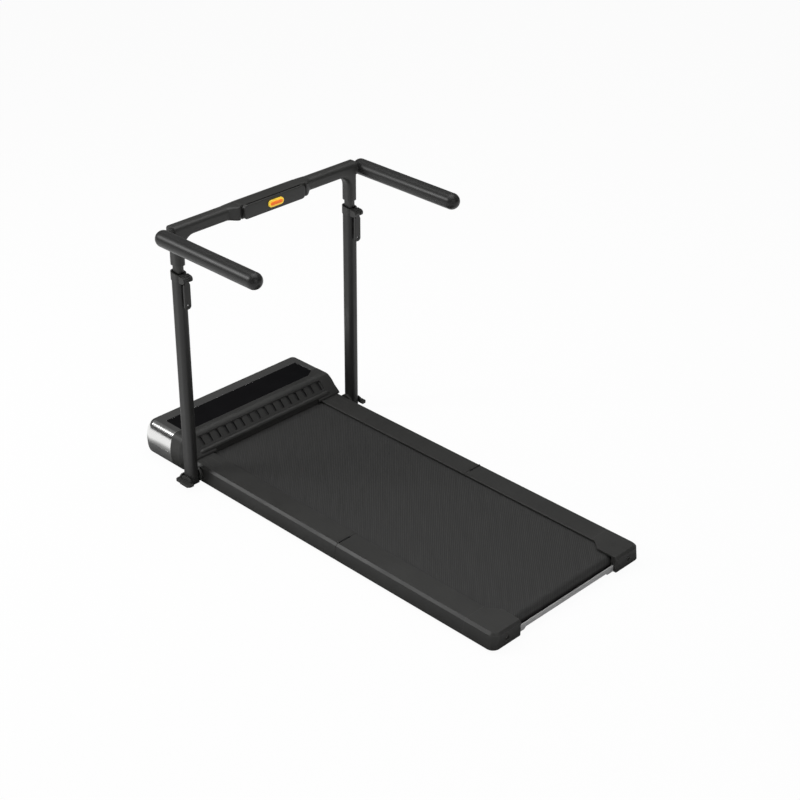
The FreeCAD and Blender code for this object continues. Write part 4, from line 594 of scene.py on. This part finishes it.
for side, sign in (("left", -1), ("right", 1)):
    sleeve = turn_sleeve(f"arm_sleeve_{side}", sign * ARM_X, ARM_Z)
    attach(sleeve, f"arm_{side}")
    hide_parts(f"arm_{side}")
    print(sleeve.name, "faces:", len(sleeve.data.polygons))

# %% [markdown]
# ## Console on the bar
# The console is a moulded sleeve round the bar. Its face plate has round ends, a thin slot behind it holds
# a phone, and past a groove at each end the sleeve flares smoothly down to the bar. Fillets that change
# along their length are hard for a solid modeller, while here the shape is simply a row of cross-sections
# along the bar: the same corners each time, moved a little from one section to the next.

# %% Sections of the console
PLATE = (0.411, 0.8180, 0.7765)  # rear, top and bottom of the face plate
PLATE_HALF, PLATE_ROUND, PLATE_THICK = 0.112, 0.011, 0.0095
SLOT_NEAR, SLOT_FAR = 0.001, 0.0075  # the slot's walls, from where the rear corners' rounding ends
SLOT_DEEP, SLOT_HALF, SLOT_END = 0.012, 0.100, 0.1002  # its depth, half its length, and where it has shut
SHUT = 0.00002  # a slot or tuck this small can't be seen, and keeps its corners apart
CONSOLE_FRONT, FRONT_RADIUS = 0.4718, 0.013
FLARE = ((0.1122, 0.4240, 0.8174, 0.7768, 4), (0.1200, 0.4240, 0.8174, 0.7768, 4),
         (0.1206, 0.4180, 0.8174, 0.7768, 4), (0.1232, 0.4165, 0.8174, 0.7768, 5),
         (0.1280, 0.4172, 0.8172, 0.7771, 6), (0.1340, 0.4205, 0.8170, 0.7775, 8),
         (0.1400, 0.4248, 0.8168, 0.7780, 10), (0.1450, 0.4282, 0.8166, 0.7783, 11.5),
         (0.1500, 0.4304, 0.8164, 0.7786, 12.4))  # x, rear, top, bottom, and the rear corners' radius in mm


def console_section(rear, top, bottom, tuck=SHUT, slot=SHUT, bend=0.003):
    """(y, z) corners of the console cut across: tuck draws the plate's edges in, slot is the slot's depth
    and bend the radius of its two rear corners."""
    flat = rear + bend
    step = flat + PLATE_THICK
    points = []

    def corner(y, z, radius, begin, parts=6):
        for k in range(parts + 1):
            angle = begin + math.pi / 2 * k / parts
            points.append((y + radius * math.cos(angle), z + radius * math.sin(angle)))

    corner(CONSOLE_FRONT - FRONT_RADIUS, bottom + FRONT_RADIUS, FRONT_RADIUS, -math.pi / 2)
    corner(CONSOLE_FRONT - FRONT_RADIUS, top - FRONT_RADIUS, FRONT_RADIUS, 0.0)
    edge = top - tuck
    points += [(step, top), (step, edge), (flat + SLOT_FAR, edge), (flat + SLOT_FAR, edge - slot),
               (flat + SLOT_NEAR, edge - slot), (flat + SLOT_NEAR, edge)]
    corner(flat, edge - bend, bend, math.pi / 2)
    corner(flat, bottom + tuck + bend, bend, math.pi)
    points += [(step, bottom + tuck), (step, bottom)]
    return points


def console_stations():
    """(x, section) from the middle of the console out to where it meets the bar."""
    slotted = console_section(*PLATE, slot=SLOT_DEEP)
    stations = [(0.0, slotted), (SLOT_HALF, slotted), (SLOT_END, console_section(*PLATE))]
    for part in (0.15, 0.4, 0.65, 0.85, 0.96, 1.0):
        tuck = PLATE_ROUND * (1 - math.sqrt(1 - part * part))
        stations.append((PLATE_HALF - PLATE_ROUND * (1 - part), console_section(*PLATE, tuck=tuck)))
    for x, rear, top, bottom, bend in FLARE:
        stations.append((x, console_section(rear, top, bottom, bend=bend * MM)))
    return stations


print("console stations:", len(console_stations()), "corners each:", len(console_stations()[0][1]))

# %% Skin the console


def skin_console():
    """The half console and its mirror image under one skin."""
    half = console_stations()
    whole = [(-x, section) for x, section in reversed(half[1:])] + half
    bm = bmesh.new()
    skin(bm, [[bm.verts.new((x, y, z)) for y, z in section] for x, section in whole])
    return finish_mesh("console_shell", bm, finishes[slot_of["console"]])


console = skin_console()
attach(console, "handrail_upper")
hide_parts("console")
print("console faces:", len(console.data.polygons))

# %% [markdown]
# ## Rear cross plate
# Behind the rear roller a satin strip joins the two end caps. It is cut from sheet: a narrow strip close
# under the belt, with a deeper tab at each end for its screws. A flat outline pushed out to the sheet's
# thickness, with its edges eased as a press leaves them, is all it needs.

# %% Cut the cross plate


def cross_plate(half=0.192, tab=0.024, slant=0.006, top=0.027, strip=0.0145, foot=0.0075,
                rear=-0.6885, thick=0.004, ease=0.0007):
    """Strip and foot are the heights of the lower edge between the tabs and under them."""
    outline = [(-half, foot), (tab - half, foot), (tab - half + slant, strip), (half - tab - slant, strip),
               (half - tab, foot), (half, foot), (half, top), (-half, top)]
    bm = bmesh.new()
    skin(bm, [[bm.verts.new((x, y, z)) for x, z in outline] for y in (rear, rear + thick)])
    rims = [edge for edge in bm.edges if abs(edge.verts[0].co.y - edge.verts[1].co.y) < TINY]
    bmesh.ops.bevel(bm, geom=rims, offset=ease, segments=3, affect="EDGES", profile=0.5)
    return finish_mesh("rear_cross_plate", bm, finishes[slot_of["rear_crossbar"]])


plate = cross_plate()
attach(plate, "deck_rear")
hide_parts("rear_crossbar")
print("cross plate faces:", len(plate.data.polygons))

# %% [markdown]
# ## Dust screen behind the vent
# Through the slots of the vent one sees a pleated screen that keeps fluff out of the motor. A flat card
# would do from far off, but pleats break up the shade in each slot, so the sheet is a zigzag with its folds
# upright. It is built in the slope's own directions, across, up the slope and out of it, from the middle
# of the grille.

# %% Fold the dust screen


def dust_screen(width=0.492, height=0.036, thick=0.0008, pleat=0.004, deep=0.0012, set_back=0.0042):
    """Zigzag sheet, its pleats deep in all and set back from the middle of the grille."""
    low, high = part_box("vent_grille")
    across, up, out = Vector((1, 0, 0)), Vector((0, 1, 1)).normalized(), Vector((0, -1, 1)).normalized()
    behind = (low + high) / 2 - out * set_back
    bm = bmesh.new()
    rows = []
    folds = int(width / pleat)
    for k in range(folds + 1):
        lift = deep / 2 * (1 if k % 2 else -1)
        middle = behind + across * (width * (k / folds - 0.5))
        rows.append([bm.verts.new(middle + up * side * height / 2 + out * (lift + face * thick / 2))
                     for side, face in ((-1, -1), (1, -1), (1, 1), (-1, 1))])
    skin(bm, rows)
    return finish_mesh("vent_dust_screen", bm, finishes["bush_plastic"])


screen = dust_screen()
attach(screen, "deck_front")
print("dust screen faces:", len(screen.data.polygons))

# %% [markdown]
# ## Rolled bead under the vent
# The hood's slope ends in a soft rolled bead that leads the hand, and the light, away from the belt. It is
# a round bar sunk for the most part into the slope, with ends that run out into the surface. Rings set
# along the hood, drawn in towards both ends as a quarter circle, give that shape without a seam.

# %% Roll the bead


def rolled_bead(half=0.262, radius=0.009, place=(0.4862, 0.0640), run_out=0.020, steps=10, around=32):
    """Round bar along x at a (y, z) place, with ends that run out over a length."""
    y, z = place
    bm = bmesh.new()
    quarter = [math.pi / 2 * k / steps for k in range(1, steps + 1)]
    ends = [(-half + run_out * (1 - math.cos(angle)), math.sin(angle)) for angle in quarter]
    stations = ends + [(-x, part) for x, part in reversed(ends)]
    tips = [[bm.verts.new((sign * half, y, z))] for sign in (-1, 1)]
    rings = [[bm.verts.new((x, y + radius * part * math.cos(a), z + radius * part * math.sin(a)))
              for a in angles(around)] for x, part in stations]
    skin(bm, [tips[0], *rings, tips[1]], capped=False)
    return finish_mesh("hood_bead", bm, finishes["charcoal_plastic"])


bead = rolled_bead()
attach(bead, "deck_front")
print("bead faces:", len(bead.data.polygons))

# %% [markdown]
# ## Screws under the deck
# The bottom pans and the housing's base are held by rows of cross-head screws. One head is modelled once,
# as a turned profile with a cross pressed into it. A node tree then sets it out in two rows, because the
# count, the pitch and the width differ from one panel to the next while the rule stays the same. Each head
# is turned by a random angle, as a screwdriver leaves it.

# %% One screw head
HEAD_PROFILE = ((1.0, 0.0), (1.0, 0.45), (0.9, 0.75), (0.66, 0.95), (0.58, 1.0))  # of radius and height
CROSS_REACH, CROSS_WIDTH = 0.45, 0.13  # of the radius, from the middle
CROSS_TAPER, CROSS_FLOOR = 0.8, 0.35  # the recess's floor: its size, and its drop below the seat


def screw_head(radius=0.0042, height=0.0016, around=24):
    """Pan head that hangs below its seat at z = 0, with a cross recess in its face."""
    bm = bmesh.new()
    rings = [[bm.verts.new((radius * part * math.cos(a), radius * part * math.sin(a), -height * drop))
              for a in angles(around)] for part, drop in HEAD_PROFILE]
    skin(bm, rings, capped=False)
    wide, thin = radius * CROSS_REACH, radius * CROSS_WIDTH
    cross = [(wide, -thin), (wide, thin), (thin, thin), (thin, wide), (-thin, wide), (-thin, thin),
             (-wide, thin), (-wide, -thin), (-thin, -thin), (-thin, -wide), (thin, -wide), (thin, -thin)]
    rim = [bm.verts.new((x, y, -height)) for x, y in cross]
    floor = [bm.verts.new((x * CROSS_TAPER, y * CROSS_TAPER, -height * CROSS_FLOOR)) for x, y in cross]
    face = rings[-1]
    rim_edges = [bm.edges.new(pair) for pair in zip(rim, rim[1:] + rim[:1])]
    face_edges = [bm.edges.get(pair) for pair in zip(face, face[1:] + face[:1])]
    bmesh.ops.bridge_loops(bm, edges=rim_edges + face_edges)
    skin(bm, [rim, floor], capped=False)
    bm.faces.new(floor)
    bm.faces.new(rings[0])
    return finish_mesh("screw_head", bm, finishes["steel"])


head = screw_head()
print("screw head faces:", len(head.data.polygons))

# %% Two rows of screws as a node tree
ROW_INPUTS = {"Head": "NodeSocketObject", "Finish": "NodeSocketMaterial", "Half Width": "NodeSocketFloat",
              "Start": "NodeSocketFloat", "End": "NodeSocketFloat", "Level": "NodeSocketFloat",
              "Count": "NodeSocketInt", "Seed": "NodeSocketInt"}


def screw_rows_tree():
    """Two lines of points, a head on each at a random angle, made into one mesh."""
    tree = bpy.data.node_groups.new("screw_rows", "GeometryNodeTree")
    for name, kind in ROW_INPUTS.items():
        tree.interface.new_socket(name=name, in_out="INPUT", socket_type=kind)
    tree.interface.new_socket(name="Geometry", in_out="OUTPUT", socket_type="NodeSocketGeometry")
    link = tree.links.new
    given = tree.nodes.new("NodeGroupInput").outputs
    both = tree.nodes.new("GeometryNodeJoinGeometry")
    for sign in (-1.0, 1.0):
        side = calc(tree, "MULTIPLY", given["Half Width"], sign)
        row = tree.nodes.new("GeometryNodeMeshLine")
        row.mode = "END_POINTS"
        link(given["Count"], row.inputs["Count"])
        for place, along in (("Start Location", "Start"), ("Offset", "End")):
            point = add(tree, "CombineXYZ", {"X": side, "Y": given[along], "Z": given["Level"]})
            link(point.outputs["Vector"], row.inputs[place])
        link(row.outputs["Mesh"], both.inputs["Geometry"])
    angle = tree.nodes.new("FunctionNodeRandomValue")
    angle.data_type = "FLOAT_VECTOR"
    angle.inputs["Min"].default_value = (0.0, 0.0, 0.0)
    angle.inputs["Max"].default_value = (0.0, 0.0, math.tau)
    link(given["Seed"], angle.inputs["Seed"])
    pattern = tree.nodes.new("GeometryNodeObjectInfo")
    link(given["Head"], pattern.inputs["Object"])
    spread = tree.nodes.new("GeometryNodeInstanceOnPoints")
    link(both.outputs["Geometry"], spread.inputs["Points"])
    link(pattern.outputs["Geometry"], spread.inputs["Instance"])
    link(angle.outputs["Value"], spread.inputs["Rotation"])
    solid = tree.nodes.new("GeometryNodeRealizeInstances")
    link(spread.outputs["Instances"], solid.inputs["Geometry"])
    painted = tree.nodes.new("GeometryNodeSetMaterial")
    link(solid.outputs["Geometry"], painted.inputs["Geometry"])
    link(given["Finish"], painted.inputs["Material"])
    link(painted.outputs["Geometry"], tree.nodes.new("NodeGroupOutput").inputs["Geometry"])
    return tree


screw_tree = screw_rows_tree()
print("screw rows take:", ", ".join(ROW_INPUTS))

# %% Set out the screws
PAN_LEVEL, BASE_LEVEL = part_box("pan_front")[0].z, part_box("housing_base")[0].z


def screw_rows(name, body, **sizes):
    """One plain mesh of two screw rows that rides on a body."""
    rows = bpy.data.objects.new(name, bpy.data.meshes.new(f"{name}_points"))
    bpy.context.scene.collection.objects.link(rows)
    nodes_modifier = rows.modifiers.new("rows", "NODES")
    nodes_modifier.node_group = screw_tree
    given = {"Head": head, "Finish": finishes["steel"], **sizes}
    for item in screw_tree.interface.items_tree:
        if item.in_out == "INPUT":
            nodes_modifier[item.identifier] = given[item.name]
    seen = bpy.context.evaluated_depsgraph_get()
    mesh = bpy.data.meshes.new_from_object(rows.evaluated_get(seen), depsgraph=seen)
    rows.modifiers.clear()
    rows.data = mesh
    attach(rows, body)
    print(name, "faces:", len(mesh.polygons))


screw_rows("pan_screws_front", "deck_front", **{"Half Width": 0.262, "Start": -0.03, "End": 0.47,
                                                 "Level": PAN_LEVEL, "Count": 5, "Seed": 3})
screw_rows("pan_screws_rear", "deck_rear", **{"Half Width": 0.262, "Start": -0.60, "End": -0.22,
                                               "Level": PAN_LEVEL, "Count": 4, "Seed": 8})
screw_rows("base_screws", "deck_front", **{"Half Width": 0.150, "Start": 0.585, "End": 0.655,
                                            "Level": BASE_LEVEL, "Count": 2, "Seed": 5})
bpy.data.objects.remove(head)

# %% [markdown]
# ## The studio
# The photograph has an even white ground and a large soft light overhead. The floor is a pale sheet that
# adds its own white for the camera but still darkens in the pad's shadow. Bright metal mirrors that white
# as well, except for a narrow strip of floor right beside the pad, where a painted contact shadow darkens
# what gloss rays see.
# Round the set stand dark walls that only gloss surfaces see: without them black glass and bright metal
# would mirror nothing but white.

# %% Floor
FLOOR_HALF, FLOOR_DROP = 14.0, 0.0006
PAD_HALF = {"X": 0.303, "Y": 0.698}  # of the pad's footprint
# painted shadow: gloss rays see the floor's white painted darker this near the pad
PAINTED_CONTACT_SHADE = [(0.035, 0.02), (0.075, 0.30), (0.11, 1.0)]  # (metres from the pad, brightness)
WHITE = (1.0, 1.0, 1.0, 1.0)


def ray_mix(tree, amounts):
    """Largest of the light-path flags times their amounts, as one factor."""
    path = add(tree, "LightPath").outputs
    largest = 0.0
    for flag, amount in amounts.items():
        largest = calc(tree, "MAXIMUM", largest, calc(tree, "MULTIPLY", path[flag], amount))
    return largest


def floor_sheet():
    """White sheet that takes shadows; for gloss rays a painted contact shadow darkens it beside the pad."""
    material, tree = empty_material("floor_sheet")
    lit = add(tree, "BsdfDiffuse", {"Color": (0.92, 0.92, 0.92, 1)})
    place = add(tree, "SeparateXYZ", {"Vector": add(tree, "TexCoord").outputs["Object"]}).outputs
    past = {}
    for axis, half in PAD_HALF.items():
        over = calc(tree, "SUBTRACT", calc(tree, "ABSOLUTE", place[axis]), half)
        past[axis] = calc(tree, "MAXIMUM", over, 0.0)
    corner = add(tree, "CombineXYZ", past).outputs["Vector"]
    away = add(tree, "VectorMath", {0: corner}, operation="LENGTH").outputs["Value"]
    seen = add(tree, "LightPath").outputs["Is Camera Ray"]
    # painted shadow: for gloss rays the emitted white follows the ramp, darker beside the pad
    painted_light_tone = mix(tree, seen, ramp(tree, away, PAINTED_CONTACT_SHADE), WHITE)
    white = add(tree, "Emission", {"Color": painted_light_tone, "Strength": 1.0})
    amount = ray_mix(tree, {"Is Camera Ray": 0.95, "Is Glossy Ray": 0.90, "Is Transmission Ray": 0.95})
    both = add(tree, "MixShader", {"Fac": amount, 1: lit.outputs["BSDF"], 2: white.outputs["Emission"]})
    add(tree, "OutputMaterial", {"Surface": both.outputs["Shader"]})
    return material


def make_floor(half):
    """Square sheet just under the feet."""
    mesh = bpy.data.meshes.new("floor")
    corners = [(-half, -half, 0), (half, -half, 0), (half, half, 0), (-half, half, 0)]
    mesh.from_pydata(corners, [], [(0, 1, 2, 3)])
    mesh.materials.append(floor_sheet())
    floor = bpy.data.objects.new("floor", mesh)
    floor.location.z = -FLOOR_DROP
    bpy.context.scene.collection.objects.link(floor)
    floor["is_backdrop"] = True


make_floor(FLOOR_HALF)
print("floor half width in m:", FLOOR_HALF)

# %% Walls
WALL_FOOT, WALL_TOP = 0.10, 5.9
WALL_RINGS = ((6.0, WALL_FOOT), (6.0, 3.4), (5.2, 4.6), (3.6, 5.5), (1.8, WALL_TOP))  # (radius, height)


def wall_shade():
    """Glow that is blackest at the foot."""
    material, tree = empty_material("studio_wall")
    height = add(tree, "SeparateXYZ", {"Vector": add(tree, "TexCoord").outputs["Object"]}).outputs["Z"]
    part = add(tree, "MapRange", {"Value": height, "From Min": WALL_FOOT, "From Max": WALL_TOP})
    shade = ramp(tree, part.outputs["Result"], [(0.0, 0.01), (0.40, 0.03), (0.7, 0.10), (1.0, 0.20)])
    glow = add(tree, "Emission", {"Color": shade, "Strength": 1.0})
    add(tree, "OutputMaterial", {"Surface": glow.outputs["Emission"]})
    return material


def make_walls(around=48):
    """Dark walls and ceiling round the set, for gloss rays only."""
    bm = bmesh.new()
    rings = [[bm.verts.new((radius * math.cos(a), radius * math.sin(a), z)) for a in angles(around)]
             for radius, z in WALL_RINGS]
    skin(bm, rings, capped=False)
    bm.faces.new(rings[-1])
    wall = finish_mesh("studio_wall", bm, wall_shade())
    wall.visible_camera = wall.visible_diffuse = wall.visible_shadow = False
    wall.visible_transmission = False
    wall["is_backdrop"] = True


make_walls()
print("wall rings:", len(WALL_RINGS))

# %% World
AMBIENT = 0.22
world = bpy.data.worlds.new("studio")
world.use_nodes = True
bpy.context.scene.world = world
air = world.node_tree
air.nodes.clear()
sky = ray_mix(air, {"Is Camera Ray": 1.0, "Is Glossy Ray": 1.0, "Is Transmission Ray": 1.0})
strength = add(air, "MapRange", {"Value": sky, "To Min": AMBIENT, "To Max": 1.0}).outputs["Result"]
ground = add(air, "Background", {"Color": WHITE, "Strength": strength})
add(air, "OutputWorld", {"Surface": ground.outputs["Background"]})
print("ambient light:", AMBIENT)

# %% [markdown]
# ## Lamps
# One big softbox hangs over the pad, a small one stands at its front left corner and a weaker one behind
# the camera. Their sizes make the shadows soft, and their level is plain: a mid grey renders as a mid grey.

# %% Softboxes
PAD_MIDDLE = Vector((0.0, 0.0, 0.3))


def softbox(name, place, size, watts):
    """Rectangular lamp aimed at the middle of the pad."""
    data = bpy.data.lights.new(name, "AREA")
    data.shape = "RECTANGLE"
    data.size, data.size_y = size
    data.energy = watts
    lamp = bpy.data.objects.new(name, data)
    lamp.location = place
    lamp.rotation_euler = (PAD_MIDDLE - Vector(place)).to_track_quat("-Z", "Y").to_euler()
    bpy.context.scene.collection.objects.link(lamp)


softbox("overhead", (0.2, 0.3, 3.6), (3.0, 3.0), 72)
softbox("left_front", (-2.8, 2.6, 2.5), (1.2, 1.2), 72)
softbox("behind_camera", (-1.2, -4.2, 2.4), (2.4, 2.0), 30)

# %% [markdown]
# ## Measure
# The dressed pad must not outgrow its solids, so the growth of its box over the solids' box is printed.

# %% Sizes and finish
visual_low, visual_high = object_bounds()
growth = (visual_high - visual_low) - (cad_high - cad_low)
print("grown by:", [round(v * 1000, 2) for v in growth], "mm")
